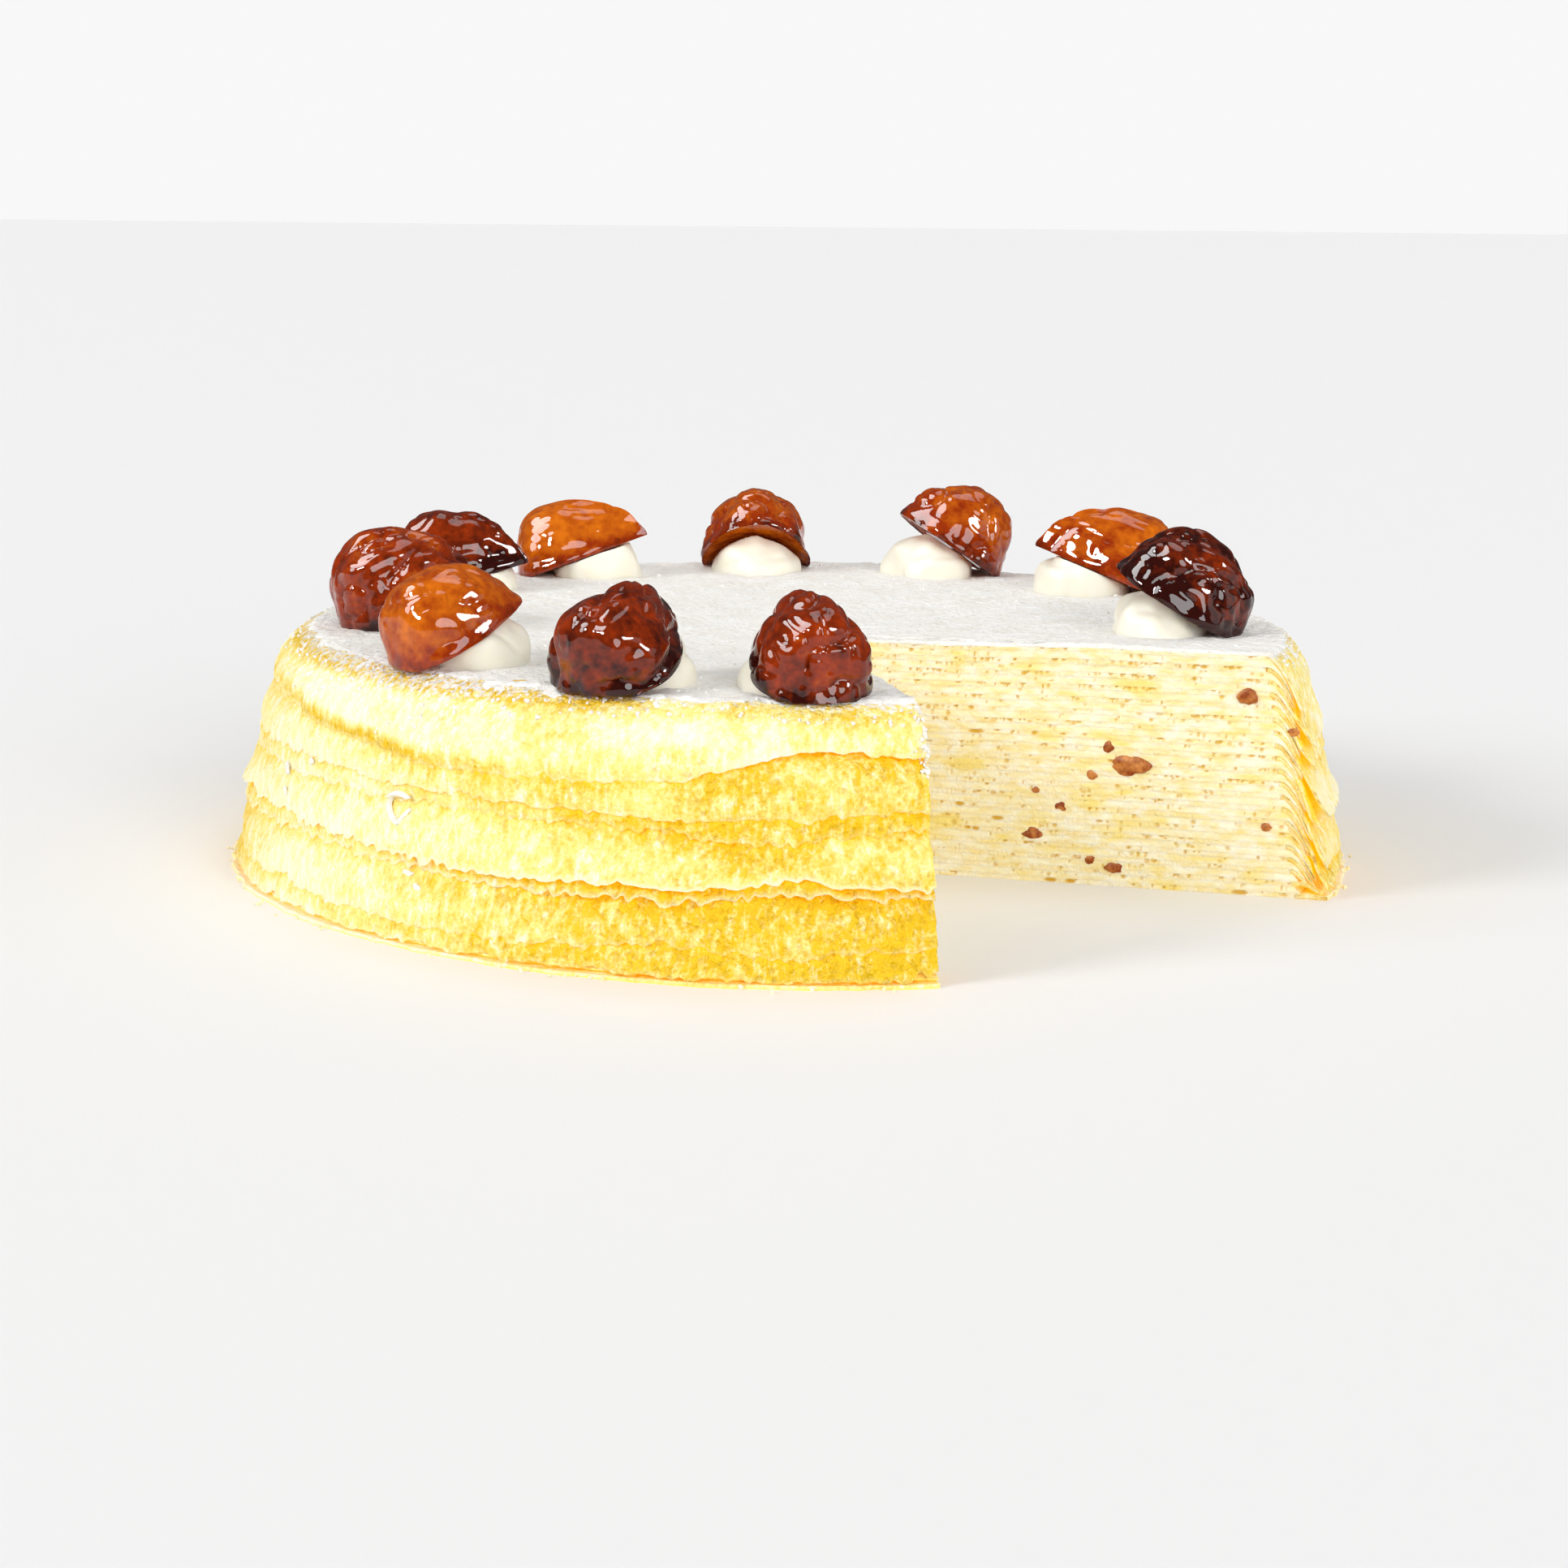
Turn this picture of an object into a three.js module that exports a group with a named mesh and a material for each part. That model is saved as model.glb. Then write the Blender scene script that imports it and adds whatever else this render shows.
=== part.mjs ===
// A round mille crepe cake with two of its twelve portions cut out.
//
// Twenty thin crepes lie on each other with a layer of pastry cream between each two. The crepes are wider
// than the cream, so their edges hang down the side like overlapping skirts. Ten candied chestnut halves
// stand round the top, one to each portion that is left, and each leans on its own dollop of whipped cream.
//
// Millimetres, +Z up. The origin is on the table under the middle of the cake, and -Y is its front. The two
// missing portions were at the front right, so both cut faces can be seen from there.

import * as THREE from 'three';

// ---------------------------------------------------------------------------------------------------------
// Driving dimensions

const CAKE_HEIGHT = 48;
const BASE_RADIUS = 115;
const WALL_LEAN = 0.15; // how far the side comes in for each millimetre of height
const FOOT_FLARE = 0.6; // extra radius where the lowest edges lie on the table
const FOOT_HEIGHT = 3;
const SIDE_WAVES = [
  // the cake isn't quite round: waves in a full turn, their size, and a direction in which they stand out
  { count: 2, size: 1.3, peak: 110 },
  { count: 4, size: 0.8, peak: 100 },
];
const SIDE_OFFSET = -0.4; // what is left to add to the radius besides the waves

const CREPE_COUNT = 20;
const CREPE_THICKNESS = 1;
const HEM_THICKNESS = 0.6; // a crepe's browned edge is thinner than its middle
const LAYER_PITCH = (CAKE_HEIGHT - CREPE_THICKNESS) / (CREPE_COUNT - 1);

const SHOULDER = 6.5; // how far a crepe's bend over the edge of the layers under it reaches sideways
const SHOULDER_DEPTH = 5; // the depth in which that gets smaller by a factor of e
const HEM_LEAN = 0.12; // a hanging hem also leans out by this much for each millimetre of depth
const HEM_REACH = 14; // the depth at which it meets the side of the cake
const CREAM_SETBACK = 0.2; // cream ends just before the crepe above it bends
const FLAT_CREPES = [
  // the two lowest crepes lie flat: how far the edge sags, and how far it ends inside the side
  { sag: 0, setBack: 0 },
  { sag: 1.4, setBack: 0.2 },
];
const FLAT_EDGE_THINNING = 0.3; // how much thinner their edge is
const FLAT_EDGE_BEVEL = 0.2; // how much further its lower side reaches

const CUT_TIP = new THREE.Vector2(0, -14.6); // where the two cut faces meet
const FAR_CUT = -14.9; // directions of the cut faces from that tip, in degrees
const NEAR_CUT = 285.1;
const COLUMNS = 36; // steps round the cake, from the far cut to the near one

// How far each crepe's hem hangs below its own level, and how much that depth wanders round the cake. The
// long hems are what the side shows, and they hide the short ones between them. The top crepe was laid on
// off centre and creased, so its hem swings by a few millimetres as well.
const HEMS = [
  { crepe: 3, depth: 1.2, wander: 0.1 },
  { crepe: 4, depth: 3, wander: 0.4 },
  { crepe: 5, depth: 3.6, wander: 0.5 },
  { crepe: 6, depth: 4.6, wander: 0.5 },
  { crepe: 7, depth: 4.2, wander: 0.6 },
  { crepe: 8, depth: 15.5, wander: 0.4 },
  { crepe: 9, depth: 4.6, wander: 0.6 },
  { crepe: 10, depth: 17.8, wander: 0.9 },
  { crepe: 11, depth: 4.6, wander: 0.7 },
  { crepe: 12, depth: 12.9, wander: 0.8 },
  { crepe: 13, depth: 4.2, wander: 0.7 },
  { crepe: 14, depth: 15.6, wander: 1.3 },
  { crepe: 15, depth: 4.4, wander: 0.7 },
  { crepe: 16, depth: 12.2, wander: 1.2 },
  { crepe: 17, depth: 4.6, wander: 0.7 },
  { crepe: 18, depth: 13.8, wander: 1 },
  { crepe: 19, depth: 4.2, wander: 0.6 },
  { crepe: 20, depth: 11.3, wander: 0.6, swing: 2.6 },
];
const SWINGS = 4; // swings in a full turn
const LOWEST = -124; // direction in which the top hem hangs lowest
const LONG_HEM = 7; // a hem deeper than this takes the two middle rings as well
const MIDDLE_RINGS = [1.6, 5];

// How a hem's line wanders: a slow and a quicker wave, whose counts and starts differ from crepe to crepe.
const SLOW_WAVE = { least: 3, kinds: 3, size: 0.6, start: 2.4 };
const QUICK_WAVE = { least: 7, kinds: 4, size: 0.4, start: 3.9 };

// The chestnuts, counter-clockwise from the right. Azimuth and heading are in degrees; reach is from the
// cake's axis to the blunt end, which stands on the crepe; tilt lifts the cut face off the crepe towards
// the middle of the cake; taper is 0 for an oval nut and over 1 for one that runs out to a point; droop is
// how far the sides of the cut face hang lower than its middle; cream is how far inwards the middle of its
// dollop lies. Each row holds them in the order that is named at the end.
const CHESTNUTS = [
  [-7.7, 91.5, 3, 30, 29.5, 23.6, 16, 0.1, 0.5, 16],
  [32.6, 97.5, -24, 22, 31, 23, 16, 1.4, 0, 18],
  [60.2, 94.2, -46, 34, 27.5, 23.8, 15.7, 0.3, 0.5, 15.5],
  [95.1, 97.5, -4, 28, 27.5, 25, 14.8, 0.2, 3, 14.5],
  [129.2, 96.9, 40, 20.5, 30.5, 24, 14.1, 1.5, 0, 16.5],
  [151, 99.5, 19, 14, 30.5, 24, 16.5, 0.7, 0, 16.5],
  [189.9, 91, 10, 28, 28, 24.7, 16.2, 0.3, 0.5, 16.5],
  [220.7, 98, -23, 27, 28, 24.5, 15, 0.6, 0.5, 16.5],
  [249, 101, -11, 27, 29, 24.3, 14.6, 0.9, 0.5, 16.5],
  [274.1, 101, 15, 25, 28.5, 22.1, 14.7, 0.7, 0.5, 16.5],
].map(([azimuth, reach, heading, tilt, length, width, height, taper, droop, cream]) => {
  return { azimuth, reach, heading, tilt, length, width, height, taper, droop, cream };
});
const CHESTNUT_SIDES = 14;
const CHESTNUT_RINGS = 5;
const CHESTNUT_SINK = 1; // how far the blunt end is pressed flat on the crepe
const CHESTNUT_LUMPS = 0.05; // share of its size by which the wrinkled skin rises and falls
const CHESTNUT_RIDGES = { least: 3, kinds: 2, start: 2.4 }; // ridges round a nut differ from nut to nut
const CHESTNUT_FOLDS = 5; // radians of wrinkles from the middle of a nut to either end

const DOLLOP = { length: 21, width: 21.5, height: 10 };
const DOLLOP_SIDES = 12;
const DOLLOP_RINGS = 4;
const DOLLOP_GAP = 0.3; // between the whipped cream and the nut's cut face

// ---------------------------------------------------------------------------------------------------------
// Materials

const crepeMaterial = new THREE.MeshStandardMaterial({ name: 'crepe', color: 0xf2dc93, roughness: 0.75 });
const creamMaterial = new THREE.MeshStandardMaterial({ name: 'pastry cream', color: 0xf6ecc6, roughness: 0.5 });
const nutMaterial = new THREE.MeshStandardMaterial({ name: 'candied chestnut', color: 0x6e2a0e, roughness: 0.15 });
const whippedMaterial = new THREE.MeshStandardMaterial({ name: 'whipped cream', color: 0xf7f1dc, roughness: 0.45 });

// ---------------------------------------------------------------------------------------------------------
// Helpers

const radians = THREE.MathUtils.degToRad;
const twoDigits = (number) => String(number).padStart(2, '0');

// A wandering line round the cake for a crepe, never above 1 or below -1.
function wanderingLine(crepe) {
  const wave = ({ least, kinds, size, start }) => (angle) =>
    size * Math.sin((least + (crepe % kinds)) * angle + start * crepe);
  const slow = wave(SLOW_WAVE);
  const quick = wave(QUICK_WAVE);
  return (angle) => slow(angle) + quick(angle);
}

// Geometry from a list of [x, y, z] points and the point numbers of its triangles.
function facetedGeometry(points, triangles) {
  const geometry = new THREE.BufferGeometry();
  geometry.setAttribute('position', new THREE.Float32BufferAttribute(points.flat(), 3));
  geometry.setIndex(triangles);
  return geometry;
}

// ---------------------------------------------------------------------------------------------------------
// Crepes and pastry cream

// Radius of the cake's side at a height. It leans in towards the top, flares at the foot and isn't quite
// round.
function sideRadius(z, angle) {
  const [x, y] = pointInColumn(angle, BASE_RADIUS, z);
  const azimuth = Math.atan2(y, x);
  const wave = ({ count, size, peak }) => size * Math.cos(count * (azimuth - radians(peak)));
  const unevenness = SIDE_WAVES.reduce((sum, each) => sum + wave(each), SIDE_OFFSET);
  return BASE_RADIUS - WALL_LEAN * z + FOOT_FLARE * Math.exp(-z / FOOT_HEIGHT) + unevenness;
}

const columnAngle = (column) => radians(THREE.MathUtils.lerp(FAR_CUT, NEAR_CUT, column / COLUMNS));

// The point at a height and a radius from the cake's axis, in a direction seen from the tip of the cut.
// Along that direction the tip lies `along` before the nearest point to the axis.
function pointInColumn(angle, radius, z) {
  const direction = new THREE.Vector2(Math.cos(angle), Math.sin(angle));
  const along = CUT_TIP.dot(direction);
  const reach = Math.sqrt(along ** 2 + radius ** 2 - CUT_TIP.lengthSq()) - along;
  return [CUT_TIP.x + reach * direction.x, CUT_TIP.y + reach * direction.y, z];
}

// One ring of points, one for each column; place(angle) gives its radius and height there.
function ring(place) {
  return Array.from({ length: COLUMNS + 1 }, (_, column) => {
    const angle = columnAngle(column);
    const { radius, z } = place(angle);
    return pointInColumn(angle, radius, z);
  });
}

// A closed layer between two sheets. Each sheet is a point at the cut's tip and one or more rings, from the
// inner to the outer one. The rim joins the two outer rings, and the cut faces close both ends.
function layerGeometry(upper, lower) {
  const sheets = [upper, lower].map(({ tip, rings }) => [tip, ...rings.flat()]);
  const perSheet = sheets[0].length;
  const ringCount = upper.rings.length;
  const number = (sheet, ringIndex, column) =>
    sheet * perSheet + (ringIndex < 0 ? 0 : 1 + ringIndex * (COLUMNS + 1) + column);
  const triangles = [];
  const quad = (a, b, c, d) => triangles.push(a, b, c, a, c, d);

  for (let column = 0; column < COLUMNS; column += 1) {
    const next = column + 1;
    triangles.push(number(0, -1, 0), number(0, 0, column), number(0, 0, next));
    triangles.push(number(1, -1, 0), number(1, 0, next), number(1, 0, column));
    for (let inner = 0; inner < ringCount - 1; inner += 1) {
      const outer = inner + 1;
      quad(number(0, inner, column), number(0, outer, column), number(0, outer, next), number(0, inner, next));
      quad(number(1, inner, next), number(1, outer, next), number(1, outer, column), number(1, inner, column));
    }
    const rim = ringCount - 1;
    quad(number(0, rim, column), number(1, rim, column), number(1, rim, next), number(0, rim, next));
  }
  for (let inner = -1; inner < ringCount - 1; inner += 1) {
    const outer = inner + 1;
    quad(number(0, inner, 0), number(1, inner, 0), number(1, outer, 0), number(0, outer, 0));
    quad(
      number(0, inner, COLUMNS), number(0, outer, COLUMNS),
      number(1, outer, COLUMNS), number(1, inner, COLUMNS),
    );
  }
  return facetedGeometry(sheets.flat(), triangles);
}

const sheetOf = (z, rings) => ({ tip: [CUT_TIP.x, CUT_TIP.y, z], rings });
const topOfCrepe = (crepe) => (crepe - 1) * LAYER_PITCH + CREPE_THICKNESS;

// How far inside the cake's side a crepe's upper face is once it hangs `depth` below its level. This gets
// steadily less with depth, so hanging crepes stay one inside the other and never cross.
const insideBy = (depth) => SHOULDER * Math.exp(-depth / SHOULDER_DEPTH) + HEM_LEAN * (HEM_REACH - depth);

function hangingPlace(level, depth, angle) {
  return { radius: sideRadius(level - depth, angle) - insideBy(depth), z: level - depth };
}

// The crepe's thickness there, laid off square to its upper face, inwards and down.
function underside(place, depth, thickness) {
  const slope = (SHOULDER / SHOULDER_DEPTH) * Math.exp(-depth / SHOULDER_DEPTH) + HEM_LEAN;
  const length = Math.hypot(1, slope);
  return { radius: place.radius - thickness / length, z: place.z - (thickness * slope) / length };
}

function hangingCrepe({ crepe, depth, wander, swing = 0 }) {
  const level = topOfCrepe(crepe);
  const line = wanderingLine(crepe);
  const isLong = depth > LONG_HEM;
  const swingLine = (angle) => Math.cos(SWINGS * (angle - radians(LOWEST)));
  const hemDepth = (angle) => depth + wander * line(angle) + swing * swingLine(angle);
  const hem = (angle) => hangingPlace(level, hemDepth(angle), angle);
  const middle = isLong ? MIDDLE_RINGS : [];

  const upper = sheetOf(level, [
    ring((angle) => hangingPlace(level, 0, angle)),
    ...middle.map((down) => ring((angle) => hangingPlace(level, down, angle))),
    ring(hem),
  ]);
  const lower = sheetOf(level - CREPE_THICKNESS, [
    ring((angle) => ({ radius: hangingPlace(level, 0, angle).radius, z: level - CREPE_THICKNESS })),
    ...middle.map((down) => ring((angle) => underside(hangingPlace(level, down, angle), down, HEM_THICKNESS))),
    ring((angle) => underside(hem(angle), hemDepth(angle), HEM_THICKNESS)),
  ]);
  return layerGeometry(upper, lower);
}

// A crepe that lies flat out to the foot of the cake and only sags at the edge.
function flatCrepe(crepe) {
  const level = topOfCrepe(crepe);
  const { sag, setBack } = FLAT_CREPES[crepe - 1];
  const bend = (angle) => sideRadius(level, angle) - insideBy(0);
  const edge = (angle) => sideRadius(level, angle) - setBack;
  const upper = sheetOf(level, [
    ring((angle) => ({ radius: bend(angle), z: level })),
    ring((angle) => ({ radius: edge(angle), z: level - sag - FLAT_EDGE_THINNING })),
  ]);
  const lower = sheetOf(level - CREPE_THICKNESS, [
    ring((angle) => ({ radius: bend(angle), z: level - CREPE_THICKNESS })),
    ring((angle) => ({ radius: edge(angle) + FLAT_EDGE_BEVEL, z: level - CREPE_THICKNESS - sag })),
  ]);
  return layerGeometry(upper, lower);
}

// The cream on top of a crepe fills the room up to the next one, out to where that one bends.
function creamGeometry(crepe) {
  const bottom = topOfCrepe(crepe);
  const top = topOfCrepe(crepe + 1) - CREPE_THICKNESS;
  const radius = (angle) => sideRadius(topOfCrepe(crepe + 1), angle) - insideBy(0) - CREAM_SETBACK;
  return layerGeometry(
    sheetOf(top, [ring((angle) => ({ radius: radius(angle), z: top }))]),
    sheetOf(bottom, [ring((angle) => ({ radius: radius(angle), z: bottom }))]),
  );
}

// ---------------------------------------------------------------------------------------------------------
// Chestnuts and whipped cream. Both are shaped in a frame whose +X runs inwards from the nut's blunt end.

// A dome: rings of points that close in on a crown, over a flat fan. outline(turn) gives a rim point on the
// unit circle's scale, and place(x, y, height) puts a point of the dome, all three from 0 to 1, in the frame.
function domeGeometry(sides, rings, outline, crown, place) {
  const points = [];
  const triangles = [];
  for (let level = 0; level < rings; level += 1) {
    const rise = (level / rings) * (Math.PI / 2);
    for (let side = 0; side < sides; side += 1) {
      const [x, y] = outline((side / sides) * 2 * Math.PI);
      const spread = Math.cos(rise);
      points.push(place(crown + (x - crown) * spread, y * spread, Math.sin(rise)));
    }
  }
  const crownPoint = points.push(place(crown, 0, 1)) - 1;
  const footPoint = points.push(place(crown, 0, 0)) - 1;
  for (let side = 0; side < sides; side += 1) {
    const next = (side + 1) % sides;
    for (let level = 0; level < rings - 1; level += 1) {
      const a = level * sides;
      const b = a + sides;
      triangles.push(a + side, a + next, b + next, a + side, b + next, b + side);
    }
    const last = (rings - 1) * sides;
    triangles.push(last + side, last + next, crownPoint);
    triangles.push(next, side, footPoint);
  }
  return facetedGeometry(points, triangles);
}

// Outline of the cut face: a circle pinched towards +X, more for a bigger taper, and as wide as before.
function pinchedOutline(taper) {
  const widest = Math.acos(-taper / (taper + 2));
  const breadth = Math.sin(widest) * Math.sin(widest / 2) ** taper;
  const outline = (turn) => [
    Math.cos(turn),
    (Math.sin(turn) * Math.abs(Math.sin(turn / 2)) ** taper) / breadth,
  ];
  return { outline, crown: Math.cos(widest) };
}

function chestnutGeometry({ tilt, length, width, height, taper, droop }, index) {
  const lean = radians(tilt);
  const { outline, crown } = pinchedOutline(taper);
  const ridges = CHESTNUT_RIDGES.least + (index % CHESTNUT_RIDGES.kinds);
  const start = CHESTNUT_RIDGES.start * index;
  const place = (x, y, up) => {
    const lump = 1 + CHESTNUT_LUMPS * Math.sin(ridges * Math.atan2(y, x - crown) + start) * (1 - up);
    const along = ((1 + x * lump) * length) / 2;
    const off = height * up * (1 + CHESTNUT_LUMPS * Math.sin(CHESTNUT_FOLDS * x + start)) - droop * y ** 2;
    const inward = along * Math.cos(lean) - off * Math.sin(lean);
    const z = along * Math.sin(lean) + off * Math.cos(lean) - CHESTNUT_SINK;
    return [inward, (y * lump * width) / 2, Math.max(z, 0)];
  };
  return domeGeometry(CHESTNUT_SIDES, CHESTNUT_RINGS, outline, crown, place);
}

// The dollop's top follows the nut's cut face, a gap below it, wherever it would stand higher than that.
function dollopGeometry({ tilt, width, droop, cream }) {
  const lean = radians(tilt);
  const { outline, crown } = pinchedOutline(0);
  const place = (x, y, up) => {
    const inward = cream + (x * DOLLOP.length) / 2;
    const across = (y * DOLLOP.width) / 2;
    const hanging = (droop * Math.abs(y * DOLLOP.width)) / (width * Math.cos(lean));
    const ceiling = inward * Math.tan(lean) - hanging - CHESTNUT_SINK - DOLLOP_GAP;
    return [inward, across, Math.min(DOLLOP.height * up, ceiling)];
  };
  return domeGeometry(DOLLOP_SIDES, DOLLOP_RINGS, outline, crown, place);
}

// ---------------------------------------------------------------------------------------------------------
// The cake

function addMesh(parent, name, geometry, material) {
  geometry.computeVertexNormals();
  const mesh = new THREE.Mesh(geometry, material);
  mesh.name = name;
  parent.add(mesh);
}

const group = new THREE.Group();

for (let crepe = 1; crepe <= CREPE_COUNT; crepe += 1) {
  const hem = HEMS.find((entry) => entry.crepe === crepe);
  addMesh(group, `crepe_${twoDigits(crepe)}`, hem ? hangingCrepe(hem) : flatCrepe(crepe), crepeMaterial);
  if (crepe < CREPE_COUNT) {
    addMesh(group, `cream_${twoDigits(crepe)}`, creamGeometry(crepe), creamMaterial);
  }
}

CHESTNUTS.forEach((nut, index) => {
  const azimuth = radians(nut.azimuth);
  const topping = new THREE.Group();
  topping.position.set(nut.reach * Math.cos(azimuth), nut.reach * Math.sin(azimuth), CAKE_HEIGHT);
  topping.rotation.z = azimuth + Math.PI + radians(nut.heading);
  addMesh(topping, `chestnut_${twoDigits(index + 1)}`, chestnutGeometry(nut, index), nutMaterial);
  addMesh(topping, `cream_dollop_${twoDigits(index + 1)}`, dollopGeometry(nut), whippedMaterial);
  group.add(topping);
});

export default group;
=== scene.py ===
# %% [markdown]
# # A mille crepe cake with two portions cut out
# This lesson dresses a CAD model of a crepe cake for a close look. The CAD model has one solid for each
# crepe, layer of cream, chestnut and dollop. It gives the sizes and the places, and it stays as it is. What
# we make here are the fine surfaces shown in its stead: lacy hems, pores, wrinkles, sugar and crumbs.

import bpy
import numpy as np
from mathutils import Matrix, Vector


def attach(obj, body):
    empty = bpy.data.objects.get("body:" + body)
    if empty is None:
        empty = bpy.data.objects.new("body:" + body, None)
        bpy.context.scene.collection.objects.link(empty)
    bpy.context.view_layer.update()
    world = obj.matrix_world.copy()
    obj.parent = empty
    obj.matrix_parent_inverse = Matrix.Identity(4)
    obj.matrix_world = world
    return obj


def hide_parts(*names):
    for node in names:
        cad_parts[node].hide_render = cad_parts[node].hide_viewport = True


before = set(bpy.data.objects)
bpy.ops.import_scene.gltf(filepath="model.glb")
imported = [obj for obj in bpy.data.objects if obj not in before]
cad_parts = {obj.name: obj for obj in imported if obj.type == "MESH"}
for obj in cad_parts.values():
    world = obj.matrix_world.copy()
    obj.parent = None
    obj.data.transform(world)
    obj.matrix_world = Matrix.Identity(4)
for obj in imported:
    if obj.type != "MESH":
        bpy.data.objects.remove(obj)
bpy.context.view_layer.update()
print("CAD nodes:", len(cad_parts))

# %% [markdown]
# ## Sizes
# All shapes below are worked out in millimetres, because a cook thinks of a crepe as one millimetre thick,
# and are turned to metres when a mesh is made. The numbers are those of the CAD model: a side that leans in a
# little, twenty crepes at an even pitch, and a notch whose tip lies 15 mm in front of the middle.

# %% The cake's own sizes
MM = 0.001
CAKE_HEIGHT = 48.0
BASE_RADIUS = 115.0
WALL_LEAN = 0.15
FOOT_FLARE = 0.6
FOOT_HEIGHT = 3.0
SIDE_WAVES = ((2, 1.3, 110), (4, 0.8, 100))  # waves in a full turn, their size, and where they stand out
SIDE_OFFSET = -0.4

CREPE_COUNT = 20
CREPE_THICKNESS = 1.0
HEM_THICKNESS = 0.6
LAYER_PITCH = (CAKE_HEIGHT - CREPE_THICKNESS) / (CREPE_COUNT - 1)

SHOULDER = 6.5
SHOULDER_DEPTH = 5.0
HEM_LEAN = 0.12
HEM_REACH = 14.0
ROUNDING = 2.6  # how far inside its bend a soft crepe already begins to curve
ROUND_DEPTH = 0.35

TIP = np.array([0.0, -14.6])
FAR_CUT = np.radians(-14.9)
NEAR_CUT = np.radians(285.1)
FAN_CENTRE = np.array([-12.0, -2.6])  # a point that sees the whole outline, as it lies right behind the tip


def top_of(crepe):
    """Height of a crepe's upper face: each one is a pitch above the one before."""
    return (crepe - 1) * LAYER_PITCH + CREPE_THICKNESS


print(f"layer pitch {LAYER_PITCH:.3f} mm")

# %% [markdown]
# ## Smooth random numbers
# Food is never even, and everything uneven on it is smooth at some size: a hem wanders over centimetres, a
# crumb over tenths of a millimetre. A cube of random numbers, blended softly between its corners, gives such
# unevenness for whole arrays of points at once, and the same numbers on each run.

# %% Noise
LATTICE_SIZE = 64
LATTICE = np.random.default_rng(11).random((LATTICE_SIZE,) * 3)


def noise(points, size, seed=0):
    """Random numbers from -1 to 1 that change smoothly over `size` millimetres. Each point's cell in the
    lattice gives eight numbers, weighted by the smooth step 3f^2 - 2f^3 of its place between them."""
    place = np.asarray(points) / size + 7.31 * seed
    low = np.floor(place).astype(int)
    share = place - low
    share = share * share * (3 - 2 * share)
    total = 0
    for corner in np.ndindex(2, 2, 2):
        x, y, z = np.moveaxis((low + corner) % LATTICE_SIZE, -1, 0)
        weight = np.where(np.array(corner, bool), share, 1 - share).prod(-1)
        total = total + weight * LATTICE[x, y, z]
    return 2 * total - 1


def step(value, low, high):
    """Runs smoothly from 0 at `low` to 1 at `high`, and stays there."""
    share = np.clip((np.asarray(value) - low) / (high - low), 0, 1)
    return share * share * (3 - 2 * share)


def hump(value, middle, width):
    """A bell round `middle`: e to the minus of the squared distance in widths."""
    return np.exp(-(((np.asarray(value) - middle) / width) ** 2))


def around_cake(angle, middle, width):
    """A bell round a direction. The angles are in radians, and the bell's middle and width in degrees."""
    return hump(np.degrees(angle) % 360, middle, width)


print("noise lattice", LATTICE.shape)

# %% [markdown]
# ## From arrays to a mesh
# A piece is built from grids of points. `add` takes an array of points and gives their numbers back in the
# same arrangement, so that a sheet is just a two-dimensional array of numbers, and sheets that share an edge
# share its numbers. Blender gets everything at once with foreach_set, which is far quicker than a loop.

# %% A collector of points and faces
class Surface:
    """Grids of points with values at each, and the faces between them."""

    def __init__(self):
        self.points, self.values, self.quads, self.triangles = [], [], [], []
        self.count = 0

    def add(self, points, **values):
        """Adds points in any arrangement and returns their numbers in the same one."""
        shape = points.shape[:-1]
        numbers = self.count + np.arange(np.prod(shape)).reshape(shape)
        self.points.append(points.reshape(-1, 3))
        self.values.append({k: np.broadcast_to(v, shape).ravel() for k, v in values.items()})
        self.count += numbers.size
        return numbers

    def sheet(self, numbers):
        """Quads between neighbours. They face the way that (down the rows) x (along a row) points."""
        a, b, c, d = numbers[:-1, :-1], numbers[1:, :-1], numbers[1:, 1:], numbers[:-1, 1:]
        self.quads.append(np.stack([a, b, c, d], -1).reshape(-1, 4))

    def fan(self, centre, loop):
        """Triangles from one point to each pair of neighbours on a line of points."""
        first, second = loop[:-1].ravel(), loop[1:].ravel()
        self.triangles.append(np.stack([np.full_like(first, centre), first, second], -1))

    def piece(self, name, material, nodes=(), slot=None, warp=None, sharp=50):
        """Makes the mesh, in metres, and the object that carries it. It rides on the cake and stands for
        the given CAD nodes."""
        points = np.concatenate(self.points)
        if warp:
            points = warp(points)
        quads = np.concatenate(self.quads) if self.quads else np.zeros((0, 4), int)
        triangles = np.concatenate(self.triangles) if self.triangles else np.zeros((0, 3), int)
        mesh = bpy.data.meshes.new(name)
        mesh.vertices.add(len(points))
        mesh.vertices.foreach_set("co", (points * MM).astype(np.float32).ravel())
        corners = np.concatenate([quads.ravel(), triangles.ravel()])
        starts = np.concatenate([4 * np.arange(len(quads)), 4 * len(quads) + 3 * np.arange(len(triangles))])
        mesh.loops.add(len(corners))
        mesh.loops.foreach_set("vertex_index", corners.astype(np.int32))
        mesh.polygons.add(len(starts))
        mesh.polygons.foreach_set("loop_start", starts.astype(np.int32))
        mesh.update(calc_edges=True)
        mesh.shade_smooth()
        mesh.set_sharp_from_angle(angle=np.radians(sharp))
        for key in self.values[0]:
            own = np.concatenate([values[key] for values in self.values]).astype(np.float32)
            mesh.attributes.new(key, "FLOAT", "POINT").data.foreach_set("value", own)
        mesh.materials.append(material)
        thing = bpy.data.objects.new(name, mesh)
        bpy.context.scene.collection.objects.link(thing)
        if nodes:
            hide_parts(*nodes)
        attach(thing, "root")
        tally[name] = 2 * len(quads) + len(triangles)
        return thing


def closed(numbers):
    """Rows of numbers, or one row, with the first one repeated at the end of each: a line becomes a loop."""
    return np.concatenate([numbers, numbers[..., :1]], -1)


tally = {}  # triangles of each piece


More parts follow.
